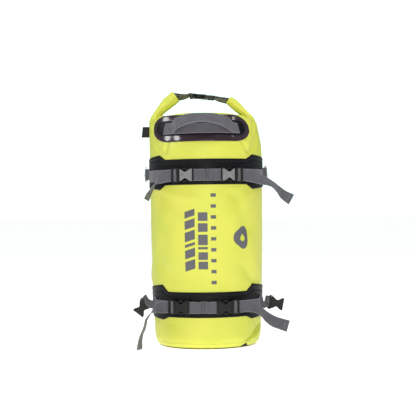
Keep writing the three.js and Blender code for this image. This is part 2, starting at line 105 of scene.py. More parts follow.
def settle(tree, inputs, sockets):
    """Gives sockets their values: one given as another socket is linked, any other is set."""
    for key, value in inputs.items():
        if isinstance(value, bpy.types.NodeSocket):
            tree.links.new(value, sockets[key])
        else:
            sockets[key].default_value = value


def add_node(tree, kind, inputs=None, **settings):
    """Adds a node with its settings, its inputs' values and its links."""
    made = tree.nodes.new(kind)
    for name, value in settings.items():
        setattr(made, name, value)
    settle(tree, inputs or {}, made.inputs)
    return made


def new_finish(name):
    """An empty material with its tree, its shader's sockets and a place on the object."""
    material = bpy.data.materials.new(name)
    material.use_nodes = True
    tree = material.node_tree
    place = add_node(tree, "ShaderNodeTexCoord").outputs["Object"]
    return material, tree, tree.nodes["Principled BSDF"].inputs, place


def per_length(millimetres):
    """The scale of a pattern that repeats, or has blotches, about that far apart."""
    return 1 / (millimetres * MM)


# a wave texture turns by 20 radians for each unit of its scale
WAVE_TURN = 2 * math.pi / 20


def tarpaulin(name, light, shade, roughness, wear, specular):
    """PVC-coated polyester: the base cloth prints faintly through a semi-gloss coating, and
    handling leaves cloudy patches of slightly different colour and gloss. Its threads are 1 mm
    apart, drawn 4 mm apart to show."""
    material, tree, shader, place = new_finish(name)
    clouds = add_node(tree, "ShaderNodeTexNoise", {
        "Vector": place, "Scale": per_length(70), "Detail": 3.0}).outputs["Fac"]
    cloudy = add_node(tree, "ShaderNodeMapRange", {
        "Value": clouds, "From Min": 0.36, "From Max": 0.66}).outputs["Result"]
    marks = add_node(tree, "ShaderNodeTexNoise", {
        "Vector": place, "Scale": per_length(9), "Detail": 4.0, "Roughness": 0.6}).outputs["Fac"]
    warp, weft = (add_node(tree, "ShaderNodeTexWave", {
        "Vector": place, "Scale": WAVE_TURN * per_length(4), "Distortion": 0.4, "Detail": 1.0,
    }, bands_direction=axis).outputs["Fac"] for axis in "XZ")
    scrim = add_node(tree, "ShaderNodeMath", {0: warp, 1: weft}, operation="MULTIPLY").outputs[0]
    printed = add_node(tree, "ShaderNodeBump", {
        "Height": scrim, "Distance": 0.03 * MM, "Strength": 0.5}).outputs["Normal"]
    settle(tree, {
        "Base Color": add_node(tree, "ShaderNodeMix", {
            0: cloudy, 6: linear(light), 7: linear(shade)}, data_type="RGBA").outputs[2],
        "Roughness": add_node(tree, "ShaderNodeMapRange", {
            "Value": marks, "To Min": roughness - 0.05,
            "To Max": roughness + 0.07}).outputs["Result"],
        "Normal": add_node(tree, "ShaderNodeBump", {
            "Height": marks, "Distance": 0.25 * MM, "Strength": wear,
            "Normal": printed}).outputs["Normal"],
        "IOR": 1.52, "Specular IOR Level": specular}, shader)
    return material


# how far from its middle line a strap's painted edge highlight starts to show, and where it is full
EDGE_HIGHLIGHT = (10.9, 12.2)


def webbing_finish(name, base, dark, edge):
    """Woven polyester webbing: ribs across it 2.4 mm apart and warp lines along it, with painted
    shade darker in the grooves between them, a painted highlight along each edge, and fuzz that
    scatters light. Real ribs are 1.2 mm, drawn coarser to show. The UV map is in metres: along
    the strap, and across it from its middle line."""
    material, tree, shader, place = new_finish(name)
    uv = add_node(tree, "ShaderNodeUVMap", uv_map="strap").outputs["UV"]
    along, across = add_node(tree, "ShaderNodeSeparateXYZ", {0: uv}).outputs[:2]
    turned = [add_node(tree, "ShaderNodeMath", {
        0: way, 1: 2 * math.pi * per_length(pitch)}, operation="MULTIPLY").outputs[0]
        for way, pitch in ((along, 2.4), (across, 1.7))]
    ribs, warp = (add_node(tree, "ShaderNodeMath", {0: turn}, operation="SINE").outputs[0]
                  for turn in turned)
    ribbed = add_node(tree, "ShaderNodeMath", {
        0: ribs, 1: 0.3, 2: 0.5}, operation="MULTIPLY_ADD").outputs[0]
    weave = add_node(tree, "ShaderNodeMath", {
        0: warp, 1: 0.2, 2: ribbed}, operation="MULTIPLY_ADD").outputs[0]
    fuzz = add_node(tree, "ShaderNodeTexNoise", {
        "Vector": place, "Scale": per_length(1.5), "Detail": 3.0, "Roughness": 0.7}).outputs["Fac"]
    fade = add_node(tree, "ShaderNodeTexNoise", {
        "Vector": place, "Scale": per_length(22), "Detail": 2.0}).outputs["Fac"]
    # the weave's colour: painted shade, darker in the grooves between the ribs and the warp lines
    lit = add_node(tree, "ShaderNodeMapRange", {
        "Value": weave, "From Min": 0.1, "From Max": 0.9}).outputs["Result"]
    weave_with_groove_shade = add_node(tree, "ShaderNodeMix", {
        0: lit, 6: linear(dark), 7: linear(base)}, data_type="RGBA").outputs[2]
    faded = add_node(tree, "ShaderNodeMapRange", {
        "Value": fade, "From Min": 0.3, "From Max": 0.8, "To Max": 0.5}).outputs["Result"]
    body = add_node(tree, "ShaderNodeMix", {
        0: faded, 6: weave_with_groove_shade, 7: linear(dark)}, data_type="RGBA").outputs[2]
    from_middle = add_node(tree, "ShaderNodeMath", {0: across}, operation="ABSOLUTE").outputs[0]
    # a painted highlight along each edge of the strap, in the edge colour
    at_edge_highlight = add_node(tree, "ShaderNodeMapRange", {
        "Value": from_middle, "From Min": EDGE_HIGHLIGHT[0] * MM, "From Max": EDGE_HIGHLIGHT[1] * MM,
        "To Max": 0.7}).outputs["Result"]
    woven_bump = add_node(tree, "ShaderNodeBump", {
        "Height": weave, "Distance": 0.35 * MM, "Strength": 0.8}).outputs["Normal"]
    settle(tree, {
        "Base Color": add_node(tree, "ShaderNodeMix", {
            0: at_edge_highlight, 6: body, 7: linear(edge)}, data_type="RGBA").outputs[2],
        "Roughness": add_node(tree, "ShaderNodeMapRange", {
            "Value": fuzz, "To Min": 0.72, "To Max": 0.92}).outputs["Result"],
        "Normal": add_node(tree, "ShaderNodeBump", {
            "Height": fuzz, "Distance": 0.2 * MM, "Strength": 0.4,
            "Normal": woven_bump}).outputs["Normal"],
        "IOR": 1.5, "Sheen Weight": 0.25, "Sheen Roughness": 0.5,
        "Specular IOR Level": 0.35}, shader)
    return material


def moulded(name, base, worn, roughness, grain_mm, dots_mm=None, brushed=False):
    """Injection-moulded acetal: a spark-eroded grain, slightly paler where it is rubbed. With
    dots_mm it has a field of moulded grip dots; brushed gives it fine lines along its length."""
    material, tree, shader, place = new_finish(name)
    grain = add_node(tree, "ShaderNodeTexNoise", {
        "Vector": place, "Scale": per_length(grain_mm), "Detail": 3.0,
        "Roughness": 0.6}).outputs["Fac"]
    rubbed = add_node(tree, "ShaderNodeTexNoise", {
        "Vector": place, "Scale": per_length(6), "Detail": 4.0, "Roughness": 0.6}).outputs["Fac"]
    wear = add_node(tree, "ShaderNodeMapRange", {
        "Value": rubbed, "From Min": 0.4, "From Max": 0.72, "To Max": 0.8}).outputs["Result"]
    normal = add_node(tree, "ShaderNodeBump", {
        "Height": grain, "Distance": 0.08 * MM, "Strength": 0.5}).outputs["Normal"]
    if dots_mm:
        cells = add_node(tree, "ShaderNodeTexVoronoi", {
            "Vector": place, "Scale": per_length(dots_mm), "Randomness": 0.15}).outputs["Distance"]
        dots = add_node(tree, "ShaderNodeMapRange", {
            "Value": cells, "From Min": 0.15, "From Max": 0.5, "To Min": 1.0,
            "To Max": 0.0}).outputs["Result"]
        normal = add_node(tree, "ShaderNodeBump", {
            "Height": dots, "Distance": 0.5 * MM, "Strength": 0.9,
            "Normal": normal}).outputs["Normal"]
    if brushed:
        squashed = add_node(tree, "ShaderNodeMapping", {
            "Vector": place, "Scale": (0.12, 0.12, 1)}).outputs[0]
        lines = add_node(tree, "ShaderNodeTexNoise", {
            "Vector": squashed, "Scale": per_length(0.9), "Detail": 2.0,
            "Roughness": 0.6}).outputs["Fac"]
        normal = add_node(tree, "ShaderNodeBump", {
            "Height": lines, "Distance": 0.2 * MM, "Strength": 0.7,
            "Normal": normal}).outputs["Normal"]
    settle(tree, {
        "Base Color": add_node(tree, "ShaderNodeMix", {
            0: wear, 6: linear(base), 7: linear(worn)}, data_type="RGBA").outputs[2],
        "Roughness": add_node(tree, "ShaderNodeMapRange", {
            "Value": rubbed, "To Min": roughness - 0.06,
            "To Max": roughness + 0.1}).outputs["Result"],
        "Normal": normal, "IOR": 1.48, "Specular IOR Level": 0.35}, shader)
    return material


LIME = tarpaulin("pvc_coated_polyester_lime", "#DCDD5A", "#D2DA52", 0.46, 0.12, 0.45)
BLACK_SHEET = tarpaulin("pvc_coated_polyester_black", "#0D0D11", "#16161B", 0.4, 0.3, 0.11)
PLUM = tarpaulin("heat_pressed_gloss_pvc_plum", "#3A2936", "#2E202B", 0.12, 0.05, 0.5)
# the last colour of each webbing is the painted highlight along its edges
GREY_WEBBING = webbing_finish("woven_polyester_webbing_grey", "#6C6B76", "#474650", "#7B7A86")
BLACK_WEBBING = webbing_finish("woven_polyester_webbing_black", "#202024", "#111114", "#2B2B30")
BLACK_ACETAL = moulded("injection_moulded_acetal_black", "#0B0B0D", "#1A1A1D", 0.36, 0.5)
DOTTED_ACETAL = moulded("moulded_acetal_black_grip_dots", "#0C0C0E", "#242428", 0.42, 0.5, 1.9)
GREY_ACETAL = moulded("moulded_acetal_grey_brushed", "#77757C", "#8F8D94", 0.42, 0.6, None, True)


def steel_finish():
    """Nickel-plated steel wire: a mirror with fine draw lines and a few dull spots."""
    material, tree, shader, place = new_finish("nickel_plated_steel_wire")
    dull = add_node(tree, "ShaderNodeTexNoise", {
        "Vector": place, "Scale": per_length(3), "Detail": 3.0, "Roughness": 0.6}).outputs["Fac"]
    lines = add_node(tree, "ShaderNodeTexNoise", {
        "Vector": place, "Scale": per_length(0.8), "Detail": 2.0}).outputs["Fac"]
    settle(tree, {
        "Metallic": 1.0, "Base Color": linear("#D6D4D0"),
        "Roughness": add_node(tree, "ShaderNodeMapRange", {
            "Value": dull, "To Min": 0.12, "To Max": 0.34}).outputs["Result"],
        "Normal": add_node(tree, "ShaderNodeBump", {
            "Height": lines, "Distance": 0.03 * MM, "Strength": 0.5}).outputs["Normal"]}, shader)
    return material


def ink_finish(name, colour, worn):
    """Screen-printed vinyl ink: a thin matt film, slightly mottled where it has rubbed."""
    material, tree, shader, place = new_finish(name)
    rubbed = add_node(tree, "ShaderNodeTexNoise", {
        "Vector": place, "Scale": per_length(2.5), "Detail": 4.0, "Roughness": 0.65}).outputs["Fac"]
    mottled = add_node(tree, "ShaderNodeMapRange", {
        "Value": rubbed, "From Min": 0.45, "From Max": 0.8, "To Max": 0.45}).outputs["Result"]
    settle(tree, {
        "Base Color": add_node(tree, "ShaderNodeMix", {
            0: mottled, 6: linear(colour), 7: linear(worn)}, data_type="RGBA").outputs[2],
        "Roughness": add_node(tree, "ShaderNodeMapRange", {
            "Value": rubbed, "To Min": 0.45, "To Max": 0.65}).outputs["Result"],
        "Normal": add_node(tree, "ShaderNodeBump", {
            "Height": rubbed, "Distance": 0.05 * MM, "Strength": 0.4}).outputs["Normal"],
        "IOR": 1.5}, shader)
    return material


def thread_finish(name, colour):
    """Bonded polyester thread: two twisted plies with a soft sheen."""
    material, tree, shader, place = new_finish(name)
    twist = add_node(tree, "ShaderNodeTexNoise", {
        "Vector": place, "Scale": per_length(0.5), "Detail": 2.0}).outputs["Fac"]
    settle(tree, {
        "Base Color": add_node(tree, "ShaderNodeMix", {
            0: twist, 6: linear(colour), 7: linear("#55555C")}, data_type="RGBA").outputs[2],
        "Normal": add_node(tree, "ShaderNodeBump", {
            "Height": twist, "Distance": 0.1 * MM, "Strength": 0.6}).outputs["Normal"],
        "Roughness": 0.6, "Sheen Weight": 0.2, "IOR": 1.5}, shader)
    return material


STEEL = steel_finish()
GREY_INK = ink_finish("screen_printed_vinyl_ink_grey", "#5C5C66", "#74757A")
LIME_INK = ink_finish("screen_printed_vinyl_ink_lime", "#CDD440", "#BFC83A")
GREY_THREAD = thread_finish("bonded_polyester_thread_grey", "#8B8B93")
PALE_THREAD = thread_finish("bonded_polyester_thread_pale", "#B4B4BA")


# ---------------------------------------------------------------- pieces from numpy grids
def finished(obj, body, slot=None, *nodes):
    """Puts a piece on its body, and hides the CAD nodes it stands for. slot is not used."""
    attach(obj, body)
    if nodes:
        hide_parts(*nodes)
    return obj


def quads(rows, places, rows_close=False, places_close=True):
    """The four-sided faces between neighbouring points of a grid, as rows of four indices. The
    rows, and the places along each row, may close on themselves."""
    row, place = np.meshgrid(np.arange(rows if rows_close else rows - 1),
                             np.arange(places if places_close else places - 1), indexing="ij")
    following, beside = (row + 1) % rows, (place + 1) % places
    corners = ((row, place), (row, beside), (following, beside), (following, place))
    return np.stack([r * places + p for r, p in corners], -1).reshape(-1, 4)


def smooth_piece(name, points, faces, material):
    """A smoothly shaded object from points in metres and faces given as lists of indices."""
    mesh = bpy.data.meshes.new(name)
    mesh.from_pydata(points.reshape(-1, 3), [], faces)
    mesh.shade_smooth()
    mesh.materials.append(material)
    return in_scene(name, mesh)


def skin(name, rows, material, closed=False, uv=None):
    """A surface from an array of loops, rows[row, place round, xyz] in metres. Each loop closes on
    itself, and the rows close too if closed is true; otherwise a many-sided cap shuts each end. uv
    is [row, place round, uv]. The normals are recalculated, so that they point outwards."""
    count, around = rows.shape[:2]
    sides = quads(count, around, rows_close=closed)
    first = np.arange(around)
    caps = [] if closed else [first[::-1], (count - 1) * around + first]
    piece = smooth_piece(name, rows, sides.tolist() + [cap.tolist() for cap in caps], material)
    if uv is not None:
        corners = np.concatenate([sides.ravel(), *caps])
        layer = piece.data.uv_layers.new(name="strap")
        layer.data.foreach_set("uv", uv.reshape(-1, 2)[corners].astype(np.float32).ravel())
    shell = bmesh.new()
    shell.from_mesh(piece.data)
    bmesh.ops.recalc_face_normals(shell, faces=shell.faces)
    shell.to_mesh(piece.data)
    shell.free()
    return piece


def unit(vectors):
    """Vectors scaled to a length of one."""
    return vectors / np.linalg.norm(vectors, axis=-1, keepdims=True)


def smooth_step(value, low, high):
    """Rises from 0 at low to 1 at high along a cubic that is level at both ends."""
    part = np.clip((value - low) / (high - low), 0, 1)
    return part * part * (3 - 2 * part)


def boxy(wave, power):
    """A sine or cosine whose size is raised to a power under one, which squares up the ellipse it
    draws."""
    return np.sign(wave) * np.abs(wave) ** power


def smooth_route(stations, step=1.6):
    """A Catmull-Rom curve through the stations, sampled every step millimetres of its length.
    Returns the samples and their distances along it."""
    stations = np.asarray(stations, float)
    ends = (2 * stations[0] - stations[1], 2 * stations[-1] - stations[-2])
    knots = np.vstack([ends[0], stations, ends[1]])
    place = np.linspace(0, len(stations) - 1, 24 * (len(stations) - 1) + 1)
    index = np.minimum(place.astype(int), len(stations) - 2)
    part = (place - index)[:, None]
    a, b, c, d = (knots[index + k] for k in range(4))
    fine = 0.5 * (2 * b + (c - a) * part + (2 * a - 5 * b + 4 * c - d) * part ** 2
                  + (3 * b - a - 3 * c + d) * part ** 3)
    steps = np.linalg.norm(np.diff(fine[:, :3], axis=0), axis=1)
    length = np.concatenate([[0], np.cumsum(steps)])
    even = np.linspace(0, length[-1], max(int(length[-1] / step), 6) + 1)
    return np.stack([np.interp(even, length, fine[:, k]) for k in range(fine.shape[1])], -1), even


def strap_frames(samples):
    """Along, across and outward unit vectors at each sample of a strap's route."""
    along = unit(np.gradient(samples[:, :3], axis=0))
    outward = unit(np.cross(along, samples[:, 3:6]))
    return along, np.cross(outward, along), outward


# a folded hem adds this share of the strap's thickness, over a step this long
HEM_EXTRA = 0.9
HEM_STEP = 1.2


def strap(name, stations, width=WEBBING_WIDTH, thickness=WEBBING, material=GREY_WEBBING,
          hem=0.0, cup=0.0, step=1.6):
    """Webbing carried along a route: stations are x, y, z and the direction of its width. Its
    section is flat with half-round edges. hem doubles its thickness over the last millimetres, and
    cup lifts its edges outwards."""
    samples, distance = smooth_route(stations, step)
    _, across, outward = strap_frames(samples)
    flat = np.linspace(-1, 1, 9) * (width - thickness) / 2
    turn = np.linspace(-90, 90, 6)[1:-1] * math.pi / 180
    round_v = width / 2 - thickness / 2 + thickness / 2 * np.cos(turn)
    round_o = np.sin(turn)
    v = np.concatenate([flat, round_v, flat[::-1], -round_v])
    o = np.concatenate([-np.ones(9), round_o, np.ones(9), -round_o])
    thick = np.full(len(distance), thickness)
    if hem:
        from_end = distance[-1] - distance
        thick = thickness * (1 + np.clip((hem - from_end) / HEM_STEP, 0, 1) * HEM_EXTRA)
    lift = cup * (v / (width / 2)) ** 2
    height = o[None, :] * thick[:, None] / 2 + lift[None, :]
    points = (samples[:, None, :3] + across[:, None] * v[None, :, None]
              + outward[:, None] * height[:, :, None])
    uv = np.stack(np.broadcast_arrays(distance[:, None], v[None, :]), -1) * MM
    return skin(name, points * MM, material, uv=uv)


def on_strap(stations, marks, lift):
    """Points on a strap's outer face: marks are rows of distance along it and across it."""
    samples, distance = smooth_route(stations)
    _, across, outward = strap_frames(samples)
    marks = np.asarray(marks, float)
    whole = np.hstack([samples[:, :3], across, outward])
    at = np.stack([np.interp(marks[:, 0], distance, whole[:, k]) for k in range(9)], -1)
    return at[:, :3] + at[:, 3:6] * marks[:, 1:2] + at[:, 6:9] * lift


# each stitch is a spindle: its rings as shares of its length and of its radius
STITCH_LENGTH = 2.1
STITCH_RADIUS = 0.32
STITCH_RINGS = np.array([[-0.5, 0.35], [-0.25, 1.0], [0.25, 1.0], [0.5, 0.35]])
STITCH_SIDES = 6


def stitches(name, lines, body, material=GREY_THREAD, pitch=2.7):
    """Rows of thread: each line of points is sampled every pitch, and each sample gets a six-sided
    spindle that is thick in its middle and pointed at its ends, laid along the line."""
    spots, headings = [], []
    for line in lines:
        line = np.asarray(line, float)
        steps = np.linalg.norm(np.diff(line, axis=0), axis=1)
        length_along = np.concatenate([[0], np.cumsum(steps)])
        count = max(int(length_along[-1] / pitch), 2)
        at = (np.arange(count) + 0.5) * length_along[-1] / count
        ends = [np.stack([np.interp(at + k, length_along, line[:, j]) for j in range(3)], -1)
                for k in (-0.3, 0.3)]
        spots.append((ends[0] + ends[1]) / 2)
        headings.append(unit(ends[1] - ends[0]))
    spots, headings = np.vstack(spots), np.vstack(headings)
    helper = np.where(np.abs(headings[:, 2:3]) > 0.8, [[1.0, 0, 0]], [[0, 0, 1.0]])
    side = unit(np.cross(headings, helper))
    other = np.cross(headings, side)
    turn = np.arange(STITCH_SIDES) * math.pi / (STITCH_SIDES / 2)
    widths = STITCH_RINGS[:, 1:2] * STITCH_RADIUS
    local = np.stack([
        np.repeat(STITCH_RINGS[:, 0] * STITCH_LENGTH, STITCH_SIDES),
        (widths * np.cos(turn)).ravel(), (widths * np.sin(turn)).ravel()], -1)
    basis = np.stack([headings, side, other], 1)
    points = spots[:, None] + np.einsum("kc,ncx->nkx", local, basis)
    starts = np.arange(len(spots))[:, None] * len(local)
    sides = quads(len(STITCH_RINGS), STITCH_SIDES)
    end = np.arange(STITCH_SIDES)
    faces = (starts[:, :, None] + sides).reshape(-1, 4).tolist()
    faces += (starts + end[::-1]).tolist()
    faces += (starts + len(local) - STITCH_SIDES + end).tolist()
    return finished(smooth_piece(name, points * MM, faces, material), body)


# a copied mesh: points this close in metres are one, faces this close to flat in radians are one,
# and an edge sharper than this is rounded
JOIN_WITHIN = 1e-6
FLAT_WITHIN = 0.02
SHARP_FROM = math.radians(35)


def moulding(name, node, body, material, slot, bevel=0.4):
    """A moulded part: a copy of its CAD mesh, joined up, with its edges rounded."""
    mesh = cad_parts[node].data.copy()
    mesh.name = name
    whole = bmesh.new()
    whole.from_mesh(mesh)
    bmesh.ops.remove_doubles(whole, verts=whole.verts, dist=JOIN_WITHIN)
    bmesh.ops.dissolve_limit(whole, angle_limit=FLAT_WITHIN, verts=whole.verts, edges=whole.edges)
    whole.to_mesh(mesh)
    whole.free()
    mesh.materials.clear()
    mesh.materials.append(material)
    obj = in_scene(name, mesh)
    rounding = obj.modifiers.new("rounded_edges", "BEVEL")
    rounding.width = bevel * MM
    rounding.segments = 2
    rounding.limit_method = "ANGLE"
    rounding.angle_limit = SHARP_FROM
    mesh.shade_flat()
    return finished(obj, body, slot, node)


# ---------------------------------------------------------------- the tube's wall
# height, half width and half depth of the stuffed tube
PROFILE = np.array([
    [0.5, 101.5, 101.5], [2.5, 105.0, 105.0], [6.4, 108.6, 108.6], [12, 112.8, 112.8],
    [21, 115.9, 115.9], [34, 117, 117], [60, 117.7, 117.7], [140, 120.4, 120.4],
    [339, 123.5, 123.5], [415, 123.5, 122.8], [441, 123.2, 119.5], [500.5, 117, 88],
    [520, 113.8, 74],
])
HEIGHTS = np.arange(-20, 521, 0.5)


def smoothed(column):
    """The profile's column against HEIGHTS, with its corners rounded: a wide average above the
    bottom edge and a narrow one on it, blended between 25 and 40 mm."""
    values = np.interp(HEIGHTS, PROFILE[:, 0], PROFILE[:, column])
    averages = []
    for reach in (7.0, 1.5):
        kernel = np.exp(-(np.arange(-60, 61) * 0.5 / reach) ** 2 / 2)
        padded = np.pad(values, 60, mode="edge")
        averages.append(np.convolve(padded, kernel / kernel.sum(), mode="valid"))
    wide = np.clip((HEIGHTS - 25) / 15, 0, 1)
    return averages[0] * wide + averages[1] * (1 - wide)


HALF_WIDTH = smoothed(1)
HALF_DEPTH = smoothed(2)
LEAN_FROM, LEAN_TO, LEAN_SHIFT = 417.0, 508.0, -6.0
# the rim is lower at the sides than at the front by RIM_DROP, all of it gained in this range
RIM_DROP = 13.0
DROP_FROM, DROP_TO = 425, 498


def lean(z):
    """How far the tube's middle lies towards +X at a height: it leans left towards the mouth."""
    return LEAN_SHIFT * smooth_step(z, LEAN_FROM, LEAN_TO)


def wall(angle, z, offset=0.0):
    """A point on the tube in millimetres: an ellipse at each height, at an angle from the front,
    standing off by offset."""
    angle, z, offset = np.broadcast_arrays(np.asarray(angle, float), z, offset)
    half_width = np.interp(z, HEIGHTS, HALF_WIDTH) + offset
    half_depth = np.interp(z, HEIGHTS, HALF_DEPTH) + offset
    return np.stack([lean(z) + half_width * np.sin(angle), -half_depth * np.cos(angle), z], -1)


def up_the_wall(angle, z):
    """The direction that runs straight up the wall at a point."""
    return unit(wall(angle, np.asarray(z) + 10.0) - wall(angle, np.asarray(z) - 10.0))


# creases in the cloth: start arc, start height, end arc, end height, depth, width
FRONT_CREASES = np.array([
    [-84, 441, -97, 413, -2.6, 5], [-120, 458, -76, 428, 1.8, 9], [-128, 440, -100, 416, -1.8, 7],
    [86, 441, 101, 413, -2.8, 5], [121, 470, 90, 424, 2.2, 9], [134, 445, 104, 418, -2.0, 7],
    [62, 434, 90, 428, -1.0, 6], [-150, 486, -128, 462, -3.0, 6], [148, 484, 124, 462, -3.0, 6],
    [158, 46, 96, 13, -3.4, 5], [150, 30, 110, 12, 2.2, 5], [128, 60, 148, 20, -1.6, 8],
    [-150, 50, -120, 22, -1.4, 7], [-88, 60, -60, 40, -0.9, 12],
    [60, 335, 92, 262, -1.9, 17], [98, 330, 66, 286, 1.3, 15], [-118, 336, -70, 296, -1.6, 16],
    [-95, 262, -120, 190, -1.3, 18], [-110, 176, -66, 140, -1.7, 14], [88, 170, 120, 139, -1.6, 12],
    [104, 230, 128, 176, 1.1, 16], [-30, 160, 24, 140, -0.8, 12], [-60, 330, -20, 316, 0.8, 12],
])
CREASE_COUNT = 30
random_creases = np.stack([
    rng.uniform(150, 612, CREASE_COUNT), rng.uniform(30, 325, CREASE_COUNT),
    rng.normal(0, 26, CREASE_COUNT), rng.normal(0, 42, CREASE_COUNT),
    rng.normal(0, 1.5, CREASE_COUNT), rng.uniform(7, 18, CREASE_COUNT)], -1)
random_creases[:, 2:4] += random_creases[:, :2]
CREASES = np.vstack([FRONT_CREASES, random_creases])
TURN = 2 * math.pi * PATCH_ARC
CREASE_GAIN = 1.55
# where up the bag the cloth is free to crease: the heights where that begins and is full, then
# those where it fades and is gone; above the upper band it only begins
FREE_MIDDLE = (127, 150, 322, 344)
FREE_BOTTOM = (12, 20, 50, 66)
FREE_ABOVE_BAND = (413, 421)
# the patch's middle as an arc; how far round from it the patch's hold on the cloth starts to fade
# and is gone; and the heights where that hold begins and is full
PATCH_MIDDLE = -9.6
PATCH_HOLDS = (112, 132)
PATCH_HOLDS_ABOVE = (434, 446)


def free_between(z, start, full, fading, end):
    """How free the cloth is to crease: rises from start to full, and falls from fading to end."""
    return smooth_step(z, start, full) * (1 - smooth_step(z, fading, end))


def sag(angle, z):
    """How far the cloth stands proud at each point, in millimetres. Each crease is a ridge or a
    groove: a bell curve of the distance to its line that fades at the line's ends. The welded
    bands and the patch hold the cloth smooth."""
    angle, z = np.broadcast_arrays(np.asarray(angle, float), np.asarray(z, float))
    arc = angle * PATCH_ARC
    total = np.zeros(arc.shape)
    for from_arc, from_z, to_arc, to_z, depth, width in CREASES:
        middle = (from_arc + to_arc) / 2
        here = (arc - middle + TURN / 2) % TURN - TURN / 2 + middle
        run, rise = to_arc - from_arc, to_z - from_z
        length = math.hypot(run, rise)
        part = ((here - from_arc) * run + (z - from_z) * rise) / length ** 2
        apart = np.abs((here - from_arc) * rise - (z - from_z) * run) / length
        beyond = np.clip(np.abs(part - 0.5) - 0.5, 0, None) * length
        total += depth * np.exp(-(apart / width) ** 2) * np.exp(-(beyond / (1.3 * width)) ** 2)
    above_band = smooth_step(z, *FREE_ABOVE_BAND)
    from_patch = np.abs((arc - PATCH_MIDDLE + TURN / 2) % TURN - TURN / 2)
    patch = (1 - smooth_step(from_patch, *PATCH_HOLDS)) * smooth_step(z, *PATCH_HOLDS_ABOVE)
    free = free_between(z, *FREE_MIDDLE) + free_between(z, *FREE_BOTTOM) + above_band * (1 - patch)
    bulge = 0.5 * np.sin(math.pi * np.clip((z - 137) / 202, 0, 1)) ** 2
    return CREASE_GAIN * total * np.clip(free, 0, 1) + bulge


def cloth(angle, z, offset=0.0):
    """A point on the sagging cloth, standing off by offset."""
    return wall(angle, z, sag(angle, z) + offset)


COLUMNS = 264
ANGLES = np.linspace(0, 2 * math.pi, COLUMNS, endpoint=False)
# above the wall the cloth folds in to the rolled mouth: height, half width, half depth, middle y
SHOULDER = np.array([
    [498, 117.3, 89.4, 0], [502.5, 115.6, 84.2, 0], [504.6, 112, 77, 0.6], [504.6, 107, 69, 2],
    [502.8, 102, 58, 4.5], [499.5, 98, 46, 8], [495, 95, 34, 11.5], [490, 93, 24, 14],
    [487, 92, 18, 15],
])


HEM_THICKNESS = 0.9


def bag_fabric():
    """The tube's wall with its creases, then the shoulder, whose ellipses turn into a flat slit at
    the roll; corner pleats ripple it. A hem lies round the bottom edge."""
    hem_z = np.arange(0.5, 20, 1.0)
    z = np.concatenate([hem_z, np.arange(20, 497.6, 2.2)])
    side_drop = RIM_DROP * np.abs(np.sin(ANGLES))[None, :] ** 3
    dropped = side_drop * smooth_step(z, DROP_FROM, DROP_TO)[:, None]
    rows = cloth(ANGLES[None, :], z[:, None] - dropped)
    hem = HEM_THICKNESS * smooth_step(hem_z, 2.0, 3.0) * (1 - smooth_step(hem_z, 11.6, 12.6))
    rows[:len(hem_z)] = cloth(ANGLES[None, :], hem_z[:, None], hem[:, None])
    shoulder, _ = smooth_route(SHOULDER)
    height, half_width, half_depth, middle = (shoulder[2:, k:k + 1] for k in range(4))
    share = np.linspace(0, 1, len(height))[:, None]
    power = 1 - 0.45 * smooth_step(share, 0.2, 1)
    sine, cosine = np.sin(ANGLES)[None, :], np.cos(ANGLES)[None, :]
    pleats = 1.5 * np.cos(ANGLES * 14)[None, :] * np.abs(sine) ** 2 * np.sin(math.pi * share)
    height = height - side_drop
    x = lean(height) + half_width * boxy(sine, power)
    y = middle - half_depth * boxy(cosine, power)
    top = np.stack(np.broadcast_arrays(x, y, height + pleats), -1)
    return np.vstack([rows, top])


fabric = skin("bag_fabric", bag_fabric() * MM, LIME)
finished(fabric, "bag", "lime_tarpaulin", "bag_shell")


def base_disc():
    """The base: a disc with a rounded edge that turns up inside the hem, and stands out past it
    where the hem has crept up at the right."""
    creep = np.exp(-((ANGLES * PATCH_ARC - 98) / 9) ** 2) * 7.0
    low = [(20, 0.6), (70, 0.2), (96, 0.0), (101.5, 0.4), (104.6, 1.4), (106.3, 2.6)]
    rows = [np.stack([radius * np.sin(ANGLES), -radius * np.cos(ANGLES), np.full(COLUMNS, z)], -1)
            for radius, z in low]
    for share, offset in ((0.5, 1.1), (1.0, 1.0), (1.0, 0.2), (0.9, -1.2)):
        rows.append(wall(ANGLES, 2.8 + creep * share, offset))
    return np.stack(rows)


finished(skin("base_disc", base_disc() * MM, BLACK_SHEET), "bag", "black_tarpaulin", "base_panel")


# ---------------------------------------------------------------- bands
RAMP = (44.0, 53.0)
SIDE_TAPER = 0.6


def band_edges(front_bottom, front_top, side_bottom, side_top, angle):
    """A band's lower and upper edge at each angle: level at the front and back, with a ramp up
    to a point at each quarter, from which it narrows again towards the middle of the side."""
    turn = np.degrees(angle) % 180
    from_middle = np.minimum(turn, 180 - turn)
    rise = np.clip((from_middle - RAMP[0]) / (RAMP[1] - RAMP[0]), 0, 1)
    rise *= 1 - SIDE_TAPER * np.clip((from_middle - RAMP[1]) / (90 - RAMP[1]), 0, 1)
    return (front_bottom + (side_bottom - front_bottom) * rise,
            front_top + (side_top - front_top) * rise)


UPPER_EDGES = (349.4, 404.0, *top_and_bottom("upper_band")[::-1])
LOWER_EDGES = (68.2, 122.4, *top_and_bottom("lower_band")[::-1])


